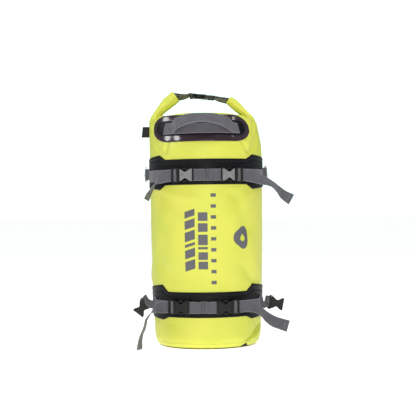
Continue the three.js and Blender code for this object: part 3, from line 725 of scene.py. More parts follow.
def band(name, node, edges, weld_rows):
    """A welded band: a thin ring that follows the wall, with a rounded rim, a raised bead just
    inside each rim, and weld lines pressed into it. Its height is one parameter and its angle the
    other."""
    fine = np.linspace(0, 2 * math.pi, 360, endpoint=False)
    bottom, top = band_edges(*edges, fine)
    share = np.concatenate([[0, 0.006], np.linspace(0.02, 0.98, 44), [0.994, 1]])
    height = bottom[None, :] + (top - bottom)[None, :] * share[:, None]
    from_edge = np.minimum(height - bottom[None, :], top[None, :] - height)
    out = GAP + 1.6 * np.sqrt(np.clip(from_edge / 0.9, 0.02, 1))
    out += 0.45 * np.exp(-((from_edge - 3.2) / 1.1) ** 2)
    for place, depth in weld_rows:
        out += depth * np.exp(-((share[:, None] - place) / 0.022) ** 2)
    ripple = sum(height_of * np.sin(fine * waves + start)
                 for height_of, waves, start in ((0.22, 5, 1.0), (0.16, 11, 0.3), (0.1, 19, 2.0)))
    out += ripple[None, :] * np.sin(math.pi * share)[:, None]
    outer = wall(fine[None, :], height, out)
    inner = wall(fine[None, :], height[::-1][::6], 0.15)
    rows = np.vstack([outer, inner])
    piece = skin(name, rows * MM, BLACK_SHEET, closed=True)
    return finished(piece, "bag", "black_tarpaulin", node)


band("upper_band_weld", "upper_band", UPPER_EDGES, [(0.86, -0.5), (0.8, 0.3)])
band("lower_band_weld", "lower_band", LOWER_EDGES, [(0.84, -0.5), (0.78, 0.3)])


# ---------------------------------------------------------------- rolled mouth
ROLL_MIDDLE_Y = 15.0
# the layers at a roll end's tip: each ring's share of the section, and its place along the roll
TIP_TURNS = [(0.94, 0.6), (0.86, 0.2), (0.82, -2.2), (0.7, -2.4), (0.66, -0.4), (0.56, -0.6),
             (0.52, -3.0), (0.36, -3.2), (0.3, -1.4), (0.16, -2.0)]


def roll_end(name, node, outer, inner):
    """One end of the rolled mouth, folded up and in. A rounded flat section, whose exponent makes
    it boxy, runs between an outer and an inner edge curve; grooves along it are the roll's layers,
    and its end steps in and out like the layers of a roll."""
    t = np.linspace(0, 1, 44)

    def edge(places):
        curve, _ = smooth_route(np.array(places, float)[:, [0, 1, 1]], 1.0)
        share = np.linspace(0, 1, len(curve))
        return np.stack([np.interp(t, share, curve[:, k]) for k in range(2)], -1)

    outside, inside = edge(outer), edge(inner)
    middle, half = (outside + inside) / 2, (outside - inside) / 2
    turn = np.linspace(0, 2 * math.pi, 72, endpoint=False)
    across, depth = boxy(np.cos(turn), 0.62), boxy(np.sin(turn), 0.62)
    folds = sum(a * np.exp(-((np.abs(turn - math.pi) - p) / 0.10) ** 2)
                for a, p in ((-0.07, 1.18), (-0.05, 1.95), (0.04, 1.55)))
    swell = 1 + folds[None, :] + 0.03 * np.sin(t * 9 + 1)[:, None] * np.cos(3 * turn)[None, :]
    half_depth = 20.5 - 2.5 * t
    tip = middle[-1]
    rows = [np.stack([
        middle[:, :1] + half[:, :1] * (across * swell),
        ROLL_MIDDLE_Y + half_depth[:, None] * depth * swell,
        middle[:, 1:] + half[:, 1:] * (across * swell)], -1)]
    heading = unit(middle[-1] - middle[-5])
    for shrink, back in TIP_TURNS:
        rows.append(np.stack([
            tip[0] + heading[0] * back + half[-1, 0] * across * shrink,
            ROLL_MIDDLE_Y + half_depth[-1] * depth * shrink,
            tip[1] + heading[1] * back + half[-1, 1] * across * shrink], -1)[None])
    return finished(skin(name, np.vstack(rows) * MM, LIME), "bag", "lime_tarpaulin", node)


roll_end("left_roll_end", "roll_arm_left",
         [(-124.2, 482), (-124.3, 492), (-121.5, 501), (-113.9, 514), (-107.1, 523.4),
          (-93.5, 541), (-82.3, 551.2), (-73.3, 559.4)],
         [(-101, 486), (-100.2, 499), (-96, 508), (-88.5, 514.3), (-76, 523), (-66.5, 530),
          (-57.6, 538)])
roll_end("right_roll_end", "roll_arm_right",
         [(112.8, 482), (111.2, 491), (108, 498.5), (103, 504.5), (95.3, 512.2), (86.5, 521.4),
          (77.8, 530.9), (68.5, 539.9), (58.1, 546.3)],
         [(87, 486), (86, 496), (82, 504), (68, 513.5), (56.1, 523), (47, 532.6)])


def roll_body():
    """The roll between its ends: a boxy rounded section along x that sags a little, with grooves
    round it where the layers of the roll lie."""
    low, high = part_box("roll_middle")
    x = np.linspace(low.x / MM - 2, high.x / MM + 2, 70)
    turn = np.linspace(0, 2 * math.pi, 80, endpoint=False)
    layers = sum(depth * np.exp(-((turn - at + 0.05 * math.sin(3 * at)) / 0.09) ** 2)
                 for depth, at in ((-0.09, 0.6), (-0.07, 1.35), (-0.08, 2.4), (-0.06, 3.5),
                                   (-0.08, 5.6)))
    swell = 1 + layers[None, :] + 0.025 * np.sin(x / 17)[:, None] * np.cos(2 * turn)[None, :]
    y = ROLL_MIDDLE_Y + 20.6 * boxy(np.cos(turn), 0.6) * swell
    z = 495.2 + 11.6 * boxy(np.sin(turn), 0.6) * swell
    z = z - 1.2 * np.cos(x / 110 * math.pi / 2)[:, None]
    rows = np.stack(np.broadcast_arrays(x[:, None], y, z), -1)
    return finished(skin("rolled_mouth", rows * MM, LIME), "bag", "lime_tarpaulin", "roll_middle")


roll_body()


# ---------------------------------------------------------------- handle
def oblong(name, node, half_arc, end_arc, half_height, offset, thickness, rim, material, slot):
    """A round-ended patch wrapped on the wall: its columns run round the tube, closer together
    near its ends, its height follows a half circle there, and its face is a shallow dome whose
    rim rolls down to the wall."""
    columns, across = 120, 22
    swing = -np.cos(np.linspace(0, math.pi, columns))
    along = swing * (half_arc - 0.3)
    into_end = np.clip(np.abs(along) - (half_arc - end_arc), 0, None) / end_arc
    half = half_height * np.sqrt(1 - into_end ** 2)
    z = strap_height(node)
    share = -np.cos(np.linspace(0, math.pi, across))
    angle = ((PATCH_MIDDLE + along) / PATCH_ARC)[:, None]
    height = z + half[:, None] * share[None, :]
    from_rim = np.minimum(half[:, None] * (1 - np.abs(share))[None, :],
                          (half_arc - np.abs(along))[:, None])
    out = offset + thickness * np.sqrt(np.clip(from_rim / rim, 0.0, 1))
    outer = wall(angle, height, out)
    inner = wall(angle, height[:, ::-1][:, ::3], offset - 0.1)
    rows = np.concatenate([outer, inner], 1)
    return finished(skin(name, rows * MM, material), "bag", slot, node)


INLAY_OFFSET = GAP + 1.5 + 0.2
HANDLE_OFFSET = INLAY_OFFSET + 1.3
oblong("gloss_patch", "handle_patch", 123.5, 50.0, 29.5, 0.2, 1.6, 1.4, PLUM, "gloss_patch")
oblong("patch_inlay", "handle_patch_inlay", 108.0, 22.0, 16.6, INLAY_OFFSET - 0.3, 1.1, 0.8,
       BLACK_SHEET, "black_tarpaulin")


def round_the_wall(from_degrees, to_degrees, z, offset, count, drop=0.0):
    """Stations along the wall at one height, with the webbing's width up the wall."""
    angles = np.radians(np.linspace(from_degrees, to_degrees, count))
    heights = z - drop * np.linspace(0, 1, count) ** 2
    return np.hstack([wall(angles, heights, offset), up_the_wall(angles, heights)])


def degrees_of(arc):
    """Degrees from the front of a place given as an arc."""
    return math.degrees(arc / PATCH_ARC)


WEBBING_Z = strap_height("handle_base_webbing")
base_route = round_the_wall(degrees_of(-90), degrees_of(78), WEBBING_Z,
                            HANDLE_OFFSET + WEBBING / 2, 26)
finished(strap("handle_backing", base_route), "bag", "grey_webbing", "handle_base_webbing")


def box_stitch(stations, from_length, to_length, half_width, lift):
    """A sewn box with a cross in it, as lines of points on a strap."""
    corners = [(from_length, -half_width), (to_length, -half_width), (to_length, half_width),
               (from_length, half_width)]
    lines = []
    for first, second in [(0, 1), (1, 2), (2, 3), (3, 0), (0, 2), (1, 3)]:
        marks = np.linspace(corners[first], corners[second], 9)
        lines.append(on_strap(stations, marks, lift))
    return lines


def cross_lines(stations, lengths, half_width, lift):
    """Straight rows of thread across a strap."""
    return [on_strap(stations, np.linspace((at, -half_width), (at, half_width), 7), lift)
            for at in lengths]


base_length = smooth_route(base_route)[1][-1]
stitches("handle_backing_stitches",
         box_stitch(base_route, 2.5, 14, 10, 0.9)
         + box_stitch(base_route, base_length - 14, base_length - 2.5, 10, 0.9)
         + cross_lines(base_route, (46, 49, base_length - 52), 10.5, 0.9), "bag")

GRIP_WIDTH = 25.4
GRIP_THICKNESS = 3.0
GRIP_MIDDLE_X, GRIP_HALF_SPAN = -7.5, 61.5
GRIP_LEAN = math.radians(40)


def grip_at(x):
    """The grip's middle line and the direction of its width at each x: it stands off the bag and
    rises as the root of its bow, which is 1 in the middle and 0 at its feet, and its width leans
    back by 40 degrees where the bow is 1."""
    x = np.asarray(x, float)
    bow = 1 - ((x - GRIP_MIDDLE_X) / GRIP_HALF_SPAN) ** 2
    back = GRIP_LEAN * bow
    places = (x, -98 - 34 * bow, 470 + 21 * np.sqrt(bow))
    return np.stack([*places, np.zeros_like(x), np.sin(back), np.cos(back)], -1)


grip_route = grip_at(np.linspace(-59, 44, 23))
grip = strap("grip_webbing", grip_route, GRIP_WIDTH, GRIP_THICKNESS, cup=-1.2)
finished(grip, "grab_handle", "grey_webbing", "grab_handle")
grip_length = smooth_route(grip_route)[1][-1]
edge_marks = [np.linspace((4, across), (grip_length - 4, across), 60) for across in (-9.6, 9.6)]
stitches("grip_stitches", [on_strap(grip_route, m, -1.75) for m in edge_marks]
         + [on_strap(grip_route, m, 1.3) for m in edge_marks], "grab_handle", pitch=3.2)

# each foot of the grip: the arcs it is sewn down at, then where along x it joins the grip
GRIP_FEET = [("left", (-72.0, -69.5, -67.0), (-62.0, -58.9)),
             ("right", (69.0, 66.0, 63.0), (47.0, 43.9))]
for word, sewn_arcs, joins_at in GRIP_FEET:
    sewn_angles = np.array(sewn_arcs) / PATCH_ARC
    sewn = np.hstack([wall(sewn_angles, 470.5, HANDLE_OFFSET + WEBBING + 1.6),
                      up_the_wall(sewn_angles, np.full(3, 470.5))])
    join = grip_at(joins_at)
    foot_route = np.vstack([sewn, join])
    foot = strap(f"handle_foot_webbing_{word}", foot_route, GRIP_WIDTH, GRIP_THICKNESS)
    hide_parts(f"handle_foot_{word}")
    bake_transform(foot)

TAB_Z = strap_height("side_tab")
tab_up = (0.13, 0, 1)
tab_route = [(x, y, TAB_Z + rise, *tab_up) for x, y, rise in (
    (-121, -1.3, -0.5), (-130, -1.4, 0), (-138, -1.2, 0), (-139.3, 0, 0), (-138, 1.2, 0),
    (-130, 1.4, 0), (-121, 1.3, -0.5))]
finished(strap("shoulder_tab", tab_route, 23.5, 1.5, BLACK_WEBBING, step=0.7), "bag",
         "black_webbing", "side_tab")


# ---------------------------------------------------------------- buckles on the bands
STRAP_OFFSET = GAP + 1.6 + GAP + WEBBING / 2
BUCKLE_STANDOFF = 8.5
BUCKLE_LENGTH = 49.4
# how far a centre strap's fold reaches past its buckle, and about the radius it lies at
FOLD_REACH = 15
BAND_RADIUS = 124
UPPER_STRAP = strap_height("upper_centre_webbing")
LOWER_STRAP = strap_height("lower_centre_webbing")

# the webbing's way through the male half's ladder, as distance along the buckle and out from it
LADDER = [(38, -3), (38, 0.9), (39, 2), (42.2, 2), (43.5, 0.7), (44.6, -0.9), (46.4, -1.5),
          (49.8, -1.6)]
# a fold of webbing round the female half's bar, from the wall, up through the slot and back
BAR_FOLD = [(-20, -5.5), (-12, -5.5), (-5, -5.3), (0, -4.4), (2.6, -2.9), (3.9, -1.0), (3.9, 0.8),
            (2.7, 2.2), (0.6, 2.5), (-2.4, 1.4), (-6, -1.6), (-10, -3.6), (-14, -4.0), (-17, -4.05)]
# the fold's outer layer, from its end to the buckle, where its rows of thread lie
FOLD_BACK = np.array(BAR_FOLD[:-5:-1])

# name, strap height, degrees from the front, last degree of the side strap, stations of the tail
BUCKLES = [
    ("upper_left", UPPER_STRAP, -22.1, -77, [
        (-88.9, -104, 367.2, 0, 0.1, 1), (-101.9, -98.5, 361.2, 0, 0.6, 0.8),
        (-109.7, -95, 351.5, 0.2, 0.95, 0.25), (-116.2, -94, 339.9, 0.3, 0.95, 0.05),
        (-122.4, -94, 329.5, 0.4, 0.9, 0.05), (-127.1, -95, 318.7, 0.45, 0.88, 0.1)]),
    ("upper_right", UPPER_STRAP, 24.5, 77, [
        (97.5, -104, 365.6, 0, 0.2, 1), (114.7, -99, 359.9, 0, 0.49, 0.87),
        (129.8, -93, 355.2, 0.05, 0.72, 0.69), (142.8, -88, 348.3, 0.2, 0.85, 0.45),
        (154.6, -85, 337.5, 0.3, 0.8, 0.5), (165.3, -82, 326.3, 0.45, 0.6, 0.65),
        (182.2, -80, 315.6, 0.5, 0.3, 0.8)]),
    ("lower_left", LOWER_STRAP, -28.4, -66, [
        (-95.3, -95.5, 90.3, 0, 0.1, 1), (-105.9, -95, 87.1, 0.1, 0.6, 0.8),
        (-115.4, -97, 81.5, 0.2, 0.9, 0.35), (-123, -99, 74.9, 0.2, 0.97, 0.1),
        (-130.2, -101, 64.4, 0.15, 0.98, 0), (-132.6, -103, 53.6, 0.15, 0.98, 0),
        (-136.2, -104, 42.6, 0.2, 0.97, 0), (-140.3, -104, 34, 0.2, 0.97, 0),
        (-142.8, -104, 25, 0.25, 0.96, 0), (-144.4, -104, 15, 0.3, 0.95, 0),
        (-145.4, -104, 2, 0.35, 0.93, 0)]),
    ("lower_right", LOWER_STRAP, 19.9, 66, [
        (84.4, -104.5, 91.2, 0, 0.1, 1), (96.2, -100.5, 88.8, 0, 0.5, 0.85),
        (106.9, -97, 84, 0.05, 0.65, 0.75), (117.6, -93, 75, 0.1, 0.7, 0.7),
        (128.3, -90, 64.6, 0.25, 0.6, 0.75), (141.1, -88, 56.1, 0.25, 0.45, 0.85),
        (154, -86, 51.2, 0.2, 0.4, 0.9), (171.5, -84, 45.2, 0.35, 0.2, 0.9)]),
]


class BuckleFrame:
    """A buckle's own directions: along its webbing, across it and outwards, from the female bar."""

    def __init__(self, origin, along, outward, scale=1.0):
        self.origin, self.along = np.asarray(origin, float), np.asarray(along, float)
        self.outward = np.asarray(outward, float)
        self.across = np.cross(self.outward, self.along)
        self.scale = scale

    def place(self, x, y, z):
        """A point of the buckle, from its distances along, across and outwards."""
        x, y, z = (np.asarray(part, float)[..., None] * self.scale
                   for part in np.broadcast_arrays(x, y, z))
        return self.origin + x * self.along + y * self.across + z * self.outward


def band_buckle_frame(turn, strap_z):
    """A band buckle's frame: it lies flat to the wall, turned this many degrees from the front."""
    angle, side = math.radians(turn), math.copysign(1, turn)
    outward = np.array([math.sin(angle), -math.cos(angle), 0])
    along = side * np.array([math.cos(angle), math.sin(angle), 0])
    middle = wall(angle, strap_z, BUCKLE_STANDOFF)
    return BuckleFrame(middle - along * BUCKLE_LENGTH / 2, along, outward)


def waist(x, half_end, depth, start=4.5, length=25.0):
    """A buckle's half width: half_end less a squared sine that draws it in at its middle."""
    return half_end - depth * np.sin(math.pi * np.clip((x - start) / length, 0, 1)) ** 2


# the hourglass panel: where it starts and ends along the buckle, its half width at its ends and
# how far its middle is drawn in, and how far out its rim and its underside lie
FACE_FROM, FACE_TO = 1.2, 29.4
FACE_HALF_WIDTH, FACE_WAIST = 12.6, 6.2
FACE_RIM, FACE_UNDERSIDE = 3.9, 3.6
FACE_GROOVES = (5.0, 25.5)


def face_plate(name, at, body, material, slot):
    """The raised hourglass panel on a female half: x along it, its half width from the waist
    formula, its rim rolled down, and a shallow groove across it near each end."""
    x = np.concatenate([[FACE_FROM, 1.4, 1.9], np.linspace(2.6, 28, 38), [28.7, 29.2, FACE_TO]])
    share = -np.cos(np.linspace(0, math.pi, 17))
    half = waist(x, FACE_HALF_WIDTH, FACE_WAIST)
    y = half[:, None] * share[None, :]
    from_rim = np.minimum(half[:, None] * (1 - np.abs(share))[None, :],
                          np.minimum(x - FACE_FROM, FACE_TO - x)[:, None])
    out = FACE_RIM + np.sqrt(np.clip(from_rim / 0.9, 0, 1))
    out -= 0.4 * sum(np.exp(-((x[:, None] - groove) / 0.6) ** 2) for groove in FACE_GROOVES)
    outer = at.place(x[:, None], y, out)
    inner = at.place(x[:, None], y[:, ::-1][:, ::4], FACE_UNDERSIDE)
    rows = np.concatenate([outer, inner], 1)
    return finished(skin(name, rows * MM, material), body, slot)


def ribbed_bars(name, at, body, places, half_width, low, high, thick):
    """Raised ribs across a buckle: each is a bar with a rounded top, closed by its own ends."""
    for number, x in enumerate(places):
        turn = np.linspace(0, 2 * math.pi, 12, endpoint=False)
        y = np.linspace(-half_width, half_width, 12)
        taper = np.sqrt(np.clip(1 - (np.abs(y) / half_width) ** 8, 0.05, 1))
        round_top = 0.5 + 0.5 * np.sin(turn)[None, :] * taper[:, None]
        rows = at.place(x + thick * np.cos(turn)[None, :] * taper[:, None], y[:, None],
                        low + (high - low) * round_top)
        finished(skin(f"{name}_{number + 1}", rows * MM, BLACK_ACETAL), body, "black_acetal")


def buckle(name, at, grey):
    """A side-release buckle: its mouldings, a face plate, ribs at its ends and the two grips."""
    body = {"female": "bag", "male": f"{name}_male", "a": f"{name}_arm_a", "b": f"{name}_arm_b"}
    female_slot = "grey_acetal" if grey else "black_acetal"
    moulding(f"{name}_socket", f"{name}_buckle_female", body["female"], BLACK_ACETAL, female_slot)
    moulding(f"{name}_ladder", f"{name}_buckle_male", body["male"], BLACK_ACETAL, "black_acetal")
    moulding(f"{name}_grip_a", f"{name}_latch_arm_a", body["a"], DOTTED_ACETAL, "black_acetal", 0.3)
    moulding(f"{name}_grip_b", f"{name}_latch_arm_b", body["b"], DOTTED_ACETAL, "black_acetal", 0.3)
    face_plate(f"{name}_face", at, body["female"], GREY_ACETAL if grey else BLACK_ACETAL,
               female_slot)
    ribbed_bars(f"{name}_socket_rib", at, body["female"], (31.4,), 12.6, 3.4, 4.9, 0.8)
    ribbed_bars(f"{name}_bar_cover", at, body["female"], (-0.9,), 15.2, 3.3, 5.0, 2.0)
    ribbed_bars(f"{name}_ladder_rib", at, body["male"], (34.6, 47.6), 14.2, 2.2, 3.9, 0.9)


frames = {}
turns = {}
for name, strap_z, turn, last_degree, tail in BUCKLES:
    side = math.copysign(1, turn)
    at = band_buckle_frame(turn, strap_z)
    frames[name], turns[name] = at, turn
    buckle(name, at, name.startswith("upper"))
    across = at.across * math.copysign(1, at.across[2])
    ladder = [(*at.place(x, 0, z), *across) for x, z in LADDER]
    loose = np.array(tail, float)
    loose[:, 3:6] = unit(loose[:, 3:6])
    route = np.vstack([ladder, loose])
    folded = 0.0 if name == "upper_left" else 11.0
    proud = 1.45 if folded else 0.85
    finished(strap(f"{name}_tail", route, hem=folded, step=1.2), f"{name}_male", "grey_webbing",
             f"{name}_strap_tail")
    tail_length = smooth_route(route)[1][-1]
    stitches(f"{name}_tail_stitches",
             cross_lines(route, (tail_length - 9.5, tail_length - 7.5), 10.8, proud)
             + cross_lines(route, (tail_length - 9.5,), 10.8, -proud),
             f"{name}_male", PALE_THREAD)
    side_route = round_the_wall(turn + side * 6, last_degree, strap_z, STRAP_OFFSET, 24)
    finished(strap(f"{name}_band_webbing", side_route), "bag", "grey_webbing", f"{name}_side_strap")

for word, left, right, strap_z in (("upper", "upper_left", "upper_right", UPPER_STRAP),
                                   ("lower", "lower_left", "lower_right", LOWER_STRAP)):
    reach = math.degrees((BUCKLE_LENGTH / 2 + FOLD_REACH) / BAND_RADIUS)
    run = round_the_wall(turns[left] + reach + 3, turns[right] - reach - 3, strap_z,
                         STRAP_OFFSET, 9)
    folds = {}
    for name in (left, right):
        places = np.array([frames[name].place(x, 0, z) for x, z in BAR_FOLD])
        up = np.tile([0.0, 0.0, 1.0], (len(places), 1))
        folds[name] = np.hstack([places, up])
    centre_route = np.vstack([folds[left][::-1], run, folds[right]])
    finished(strap(f"{word}_centre_strap", centre_route, 25.0, step=0.9), "bag", "grey_webbing",
             f"{word}_centre_webbing")
    rows = []
    for name in (left, right):
        for along in (-9.5, -12.0, -15.0):
            y = np.linspace(-10.5, 10.5, 9)
            out = np.interp(along, FOLD_BACK[:, 0], FOLD_BACK[:, 1]) + 0.85
            rows.append(frames[name].place(along, y, out))
    stitches(f"{word}_centre_strap_stitches", rows, "bag")
    back_route = round_the_wall(112, 248, strap_z, STRAP_OFFSET, 60)
    finished(strap(f"{word}_back_strap", back_route), "bag", "grey_webbing", f"{word}_back_webbing")
    back_length = smooth_route(back_route)[1][-1]
    boxes = [(3, 18), (back_length - 18, back_length - 3),
             (back_length / 2 - 9, back_length / 2 + 9)]
    stitches(f"{word}_back_strap_stitches",
             [line for start, end in boxes
              for line in box_stitch(back_route, start, end, 10, 0.85)], "bag")


# ---------------------------------------------------------------- eyes, rings and spare sockets
def eye(bar, along, across, radius=3.3, lead=7.5, half_space=0.95):
    """Stations of an eye: in beside the bar, round it on a circle, and back over itself."""
    normal = unit(np.cross(across, along))
    turn = np.radians(np.linspace(-110, 110, 15))
    u = np.concatenate([[-lead], radius * np.cos(turn), [-lead]])
    v = np.concatenate([[-half_space], radius * np.sin(turn), [half_space]])
    places = bar + u[:, None] * along + v[:, None] * normal
    return np.hstack([places, np.tile(across, (len(places), 1))])


RING_Z = strap_height("ring_loop_left")
RING_WIRE, RING_HALF_HEIGHT, RING_REACH = 1.75, 15.5, 19.0
RING_TILT = math.radians(14.0)


def wire_ring():
    """A D of round wire: a half oval and a straight bar as one closed line, rounded by the spline,
    and a circle carried along it in the ring's own upright plane."""
    swing = np.radians(np.linspace(-90, 90, 15))
    curve = np.stack([4 + (RING_REACH - 4) * np.cos(swing), RING_HALF_HEIGHT * np.sin(swing)], -1)
    bar = np.array([(0, z) for z in (13.2, 8, 0, -8, -13.2)])
    line = np.vstack([curve, bar, curve[:1]])
    route, _ = smooth_route(np.pad(line, ((0, 0), (0, 1))), 0.8)
    route = route[:-1, :2]
    heading = unit(np.roll(route, -1, 0) - np.roll(route, 1, 0))
    normal = np.stack([heading[:, 1], -heading[:, 0]], -1)
    turn = np.linspace(0, 2 * math.pi, 16, endpoint=False)
    y = route[:, :1] + normal[:, :1] * RING_WIRE * np.cos(turn)
    z = route[:, 1:] + normal[:, 1:] * RING_WIRE * np.cos(turn)
    x = np.broadcast_to(RING_WIRE * np.sin(turn), y.shape)
    return np.stack([x, y, z], -1)


for side, word in ((-1, "left"), (1, "right")):
    angle = math.radians(side * 83)
    bar = wall(angle, RING_Z, STRAP_OFFSET + 4.6)
    along = np.array([side * math.cos(angle), side * math.sin(angle), 0])
    across = np.array([0.0, 0, -side])
    lead = wall(np.radians([side * 76.5, side * 78.3]), RING_Z, STRAP_OFFSET)
    route = np.vstack([np.hstack([lead, np.tile(across, (2, 1))]), eye(bar, along, across)])
    finished(strap(f"ring_eye_{word}", route, 24.4, step=0.8), "bag", "grey_webbing",
             f"ring_loop_{word}")
    tilt = -side * RING_TILT
    ring = wire_ring()
    x, y, z = np.moveaxis(ring, -1, 0)
    turned = np.stack([x * math.cos(tilt) - y * math.sin(tilt),
                       x * math.sin(tilt) + y * math.cos(tilt), z], -1)
    finished(skin(f"wire_ring_{word}", (turned + bar) * MM, STEEL, closed=True), f"ring_{word}",
             "steel_wire", f"d_ring_{word}")

SPARES = [("left", -1, (-133.5, -24.0, 96.0), (-0.61, 0, -0.79)),
          ("right", 1, (134.0, -24.0, 93.0), (0.98, 0, -0.2))]
for word, side, bar, along in SPARES:
    bar, along = np.array(bar), unit(np.array(along, float))
    outward = np.array([0.0, -1, 0])
    across = np.cross(outward, along)
    up = up_the_wall(math.radians(side * 68), bar[2]) * -side
    lead = np.hstack([wall(np.radians([side * 66.0, side * 69.0]), bar[2], STRAP_OFFSET),
                      np.tile(up, (2, 1))])
    turned = up * 0.65 + across * 0.35
    bend = np.array([[side * 121.5, -39, bar[2], *turned]])
    route = np.vstack([lead, bend, eye(bar, along, across)])
    finished(strap(f"spare_eye_{word}", route, step=0.8), "bag", "grey_webbing",
             f"spare_loop_{word}")
    moulding(f"spare_socket_{word}", f"spare_buckle_{word}", f"spare_{word}", BLACK_ACETAL,
             "black_acetal")
    face_plate(f"spare_face_{word}", BuckleFrame(bar - along, along, outward), f"spare_{word}",
               BLACK_ACETAL, "black_acetal")


# ---------------------------------------------------------------- mouth closure
CLOSURE_SLOPE = math.radians(-5)
closure_along = np.array([math.cos(CLOSURE_SLOPE), 0, math.sin(CLOSURE_SLOPE)])
closure_out = np.array([-math.sin(CLOSURE_SLOPE), 0, math.cos(CLOSURE_SLOPE)])
closure_frame = BuckleFrame((-34, ROLL_MIDDLE_Y, 549.6), closure_along, closure_out, 1.12)
buckle("closure", closure_frame, False)


CLOSURE_WEBBING = 1.2


def closure_strap(name, points, material, tilt=0.0):
    """A strap over the mouth: points are x and z, and its width is along y, tilted up at its
    front by tilt except where it meets the buckle."""
    ends = np.linspace(0, 1, len(points))
    turned = tilt * (1 - ends ** 3) if points[0][0] < 0 else tilt * (1 - (1 - ends) ** 3)
    stations = [(x, ROLL_MIDDLE_Y, z, 0, 1, -t) for (x, z), t in zip(points, turned)]
    return strap(name, stations, WEBBING_WIDTH, CLOSURE_WEBBING, material, step=0.9)


left_web = closure_strap(
    "closure_web_left",
    [(-74, 548), (-62, 546.0), (-52, 546.6), (-42, 549), (-36.5, 550.4), (-32.6, 550.3)],
    GREY_WEBBING, tilt=0.42)
finished(left_web, "bag", "grey_webbing", "closure_strap_left")
tongue = closure_strap(
    "closure_tongue_left", [(-74, 556.5), (-64, 554.6), (-54, 553.2), (-44, 552.2), (-37, 551.6)],
    BLACK_WEBBING)
finished(tongue, "bag", "black_webbing")
right_web = closure_strap(
    "closure_web_right",
    [(9, 547), (14, 546.4), (22.8, 544.6), (36, 542.0), (48, 540), (54, 538.8)],
    GREY_WEBBING, tilt=0.3)
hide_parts("closure_strap_right")
lower_web = closure_strap(
    "closure_fold_right", [(21, 542.2), (30, 540.2), (42, 537.6), (52, 535.2)], GREY_WEBBING,
    tilt=0.3)
for crumpled, from_x in ((right_web, 16), (lower_web, 21)):
    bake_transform(crumpled)


# ---------------------------------------------------------------- prints
PRINT_THICKNESS = 0.28
PRINT_SPACING = 1.2
PRINT_SUNK = 0.25


def print_patch(name, corners):
    """A printed block on the cloth: corners are arc and height, two along each side; it is filled
    evenly between them and stands off the cloth by its thickness, with its rim sunk into it."""
    a, b, c, d = np.array(corners, float)
    across = max(int(np.linalg.norm(b - a) / PRINT_SPACING), 2) + 3
    tall = max(int(np.linalg.norm(c - a) / PRINT_SPACING), 2) + 3
    s, t = (np.concatenate([[0], np.linspace(0, 1, count - 2), [1]]) for count in (across, tall))
    s, t = s[:, None, None], t[None, :, None]
    grid = a * (1 - s) * (1 - t) + b * s * (1 - t) + c * (1 - s) * t + d * s * t
    rim = np.pad(np.zeros((across - 2, tall - 2)), 1, constant_values=1)
    points = cloth(grid[..., 0] / PATCH_ARC, grid[..., 1],
                   PRINT_THICKNESS - (PRINT_THICKNESS + PRINT_SUNK) * rim)
    faces = quads(across, tall, places_close=False).tolist()
    return finished(smooth_piece(name, points * MM, faces, GREY_INK), "bag")


# name, arcs of the near and far side, how far the far side rises, and each block's height range
PRINTS = [
    ("bold", -47, -25, 7,
     ((166, 186), (192, 210), (216, 222), (228, 248), (254, 272), (278, 292))),
    ("block", -18, 2, 0,
     ((171, 187), (191, 207), (213, 218), (222, 244), (250, 268), (273, 291))),
    ("dash", 9, 20, 0, [(z - 3.6, z + 3.6) for z in np.linspace(143, 327, 9)]),
]
for word, near, far, rise, blocks in PRINTS:
    for number, (low, high) in enumerate(blocks):
        print_patch(f"print_{word}_{number + 1}",
                    [(near, low), (far, low + rise), (near, high), (far, high + rise)])

BADGE_MIDDLE = (79.0, 236.5)


def rounded_outline(radius_at, count):
    """Arc and height of an outline from its radius at each angle."""
    turn = np.linspace(0, 2 * math.pi, count, endpoint=False)
    radius = radius_at(turn)
    return np.stack([radius * np.cos(turn), radius * np.sin(turn)], -1)


def badge_piece(name, outline, middle, low, high, material):
    """A printed shape on the cloth: rings from its middle out to its outline, and a sunk rim."""
    shares = np.array([0.04, 0.2, 0.4, 0.6, 0.8, 0.93, 1.0, 1.0])
    lift = np.array([1, 1, 1, 1, 1, 1, 1, 0])
    rings = np.array(middle) + outline[None] * shares[:, None, None]
    rows = cloth(rings[..., 0] / PATCH_ARC, rings[..., 1], low + (high - low) * lift[:, None])
    return finished(skin(name, rows * MM, material), "bag")


def badge_radius(turn):
    """A triangle with round corners: a circle that swells three times, once towards -X."""
    return 19.2 + 2.6 * np.cos(3 * (turn - math.pi))


def drop_radius(turn):
    """A water drop: a circle drawn out to a tip at its top."""
    from_top = np.abs(np.angle(np.exp(1j * (turn - math.pi / 2))))
    return 5.6 * (1 + 0.75 * np.exp(-from_top / 0.4))


badge_piece("print_badge", rounded_outline(badge_radius, 96) * np.array([0.94, 1.2]), BADGE_MIDDLE,
            -0.3, 0.3, GREY_INK)
badge_piece("print_drop", rounded_outline(drop_radius, 64),
            (BADGE_MIDDLE[0] + 2, BADGE_MIDDLE[1] - 2), -0.2, 0.5, LIME_INK)


# ---------------------------------------------------------------- studio
def area_light(name, place, aim, size, size_y, watts, colour="#FFFFFF"):
    """A soft rectangular light at a place, turned to face another."""
    light = bpy.data.lights.new(name, "AREA")
    light.shape = "RECTANGLE"
    light.size, light.size_y = size, size_y
    light.energy = watts
    light.color = linear(colour)[:3]
    obj = in_scene(name, light)
    obj.location = place
    obj.rotation_euler = (Vector(aim) - Vector(place)).to_track_quat("-Z", "Y").to_euler()
    return obj


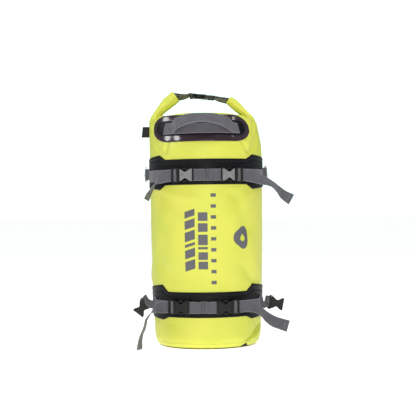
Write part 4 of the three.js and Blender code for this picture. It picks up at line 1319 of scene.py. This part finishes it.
area_light("front_softbox", (0.1, -2.9, 1.1), (0, 0, 0.28), 1.6, 1.6, 30.5, "#FFEFD8")
area_light("overhead_softbox", (0.0, -0.4, 2.3), (0, 0, 0.3), 1.6, 1.2, 25)


def reflected_strip(name, start, end, width, watts):
    """A strip light from one point to another that faces the handle and shows only as a pale
    reflection in glossy surfaces."""
    start, end = Vector(start), Vector(end)
    away = ((start + end) / 2 - Vector((0, -0.1, 0.47))).normalized()
    upward = (end - start - away * (end - start).dot(away)).normalized()
    strip_light = area_light(name, (start + end) / 2, (0, 0, 0), width, (end - start).length, watts)
    strip_light.rotation_euler = Matrix((upward.cross(away), upward, away)).transposed().to_euler()
    strip_light.visible_diffuse = False


reflected_strip("left_outer_strip", (-1.95, -0.25, 1.15), (-1.6, -0.37, 1.78), 0.32, 9)
reflected_strip("left_inner_strip", (-1.6, -0.92, 1.42), (-1.42, -0.76, 1.78), 0.34, 6)
reflected_strip("right_thin_strip", (1.41, -0.53, 1.86), (1.35, -0.5, 1.97), 0.07, 0.6)

floor_mesh = bpy.data.meshes.new("studio_floor")
FLOOR_HALF = 30.0
floor_mesh.from_pydata([(FLOOR_HALF * x, FLOOR_HALF * y, 0)
                        for x, y in ((-1, -1), (1, -1), (1, 1), (-1, 1))], [], [(0, 1, 2, 3)])
paper, paper_tree, paper_shader, _ = new_finish("white_paper_sweep")
settle(paper_tree, {"Base Color": linear("#F4F4F4"), "Roughness": 0.9, "Specular IOR Level": 0.1,
                    "Emission Color": (1, 0.96, 0.97, 1), "Emission Strength": 0.76}, paper_shader)
floor_mesh.materials.append(paper)
floor = in_scene("studio_floor", floor_mesh)

world = bpy.data.worlds.new("studio")
bpy.context.scene.world = world
world.use_nodes = True
sky = world.node_tree
seen = add_node(sky, "ShaderNodeLightPath").outputs["Is Camera Ray"]
strength = add_node(sky, "ShaderNodeMapRange", {
    "Value": seen, "To Min": 0.29, "To Max": 1.4}).outputs["Result"]
settle(sky, {"Strength": strength, "Color": (0.8, 1.0, 0.92, 1)}, sky.nodes["Background"].inputs)
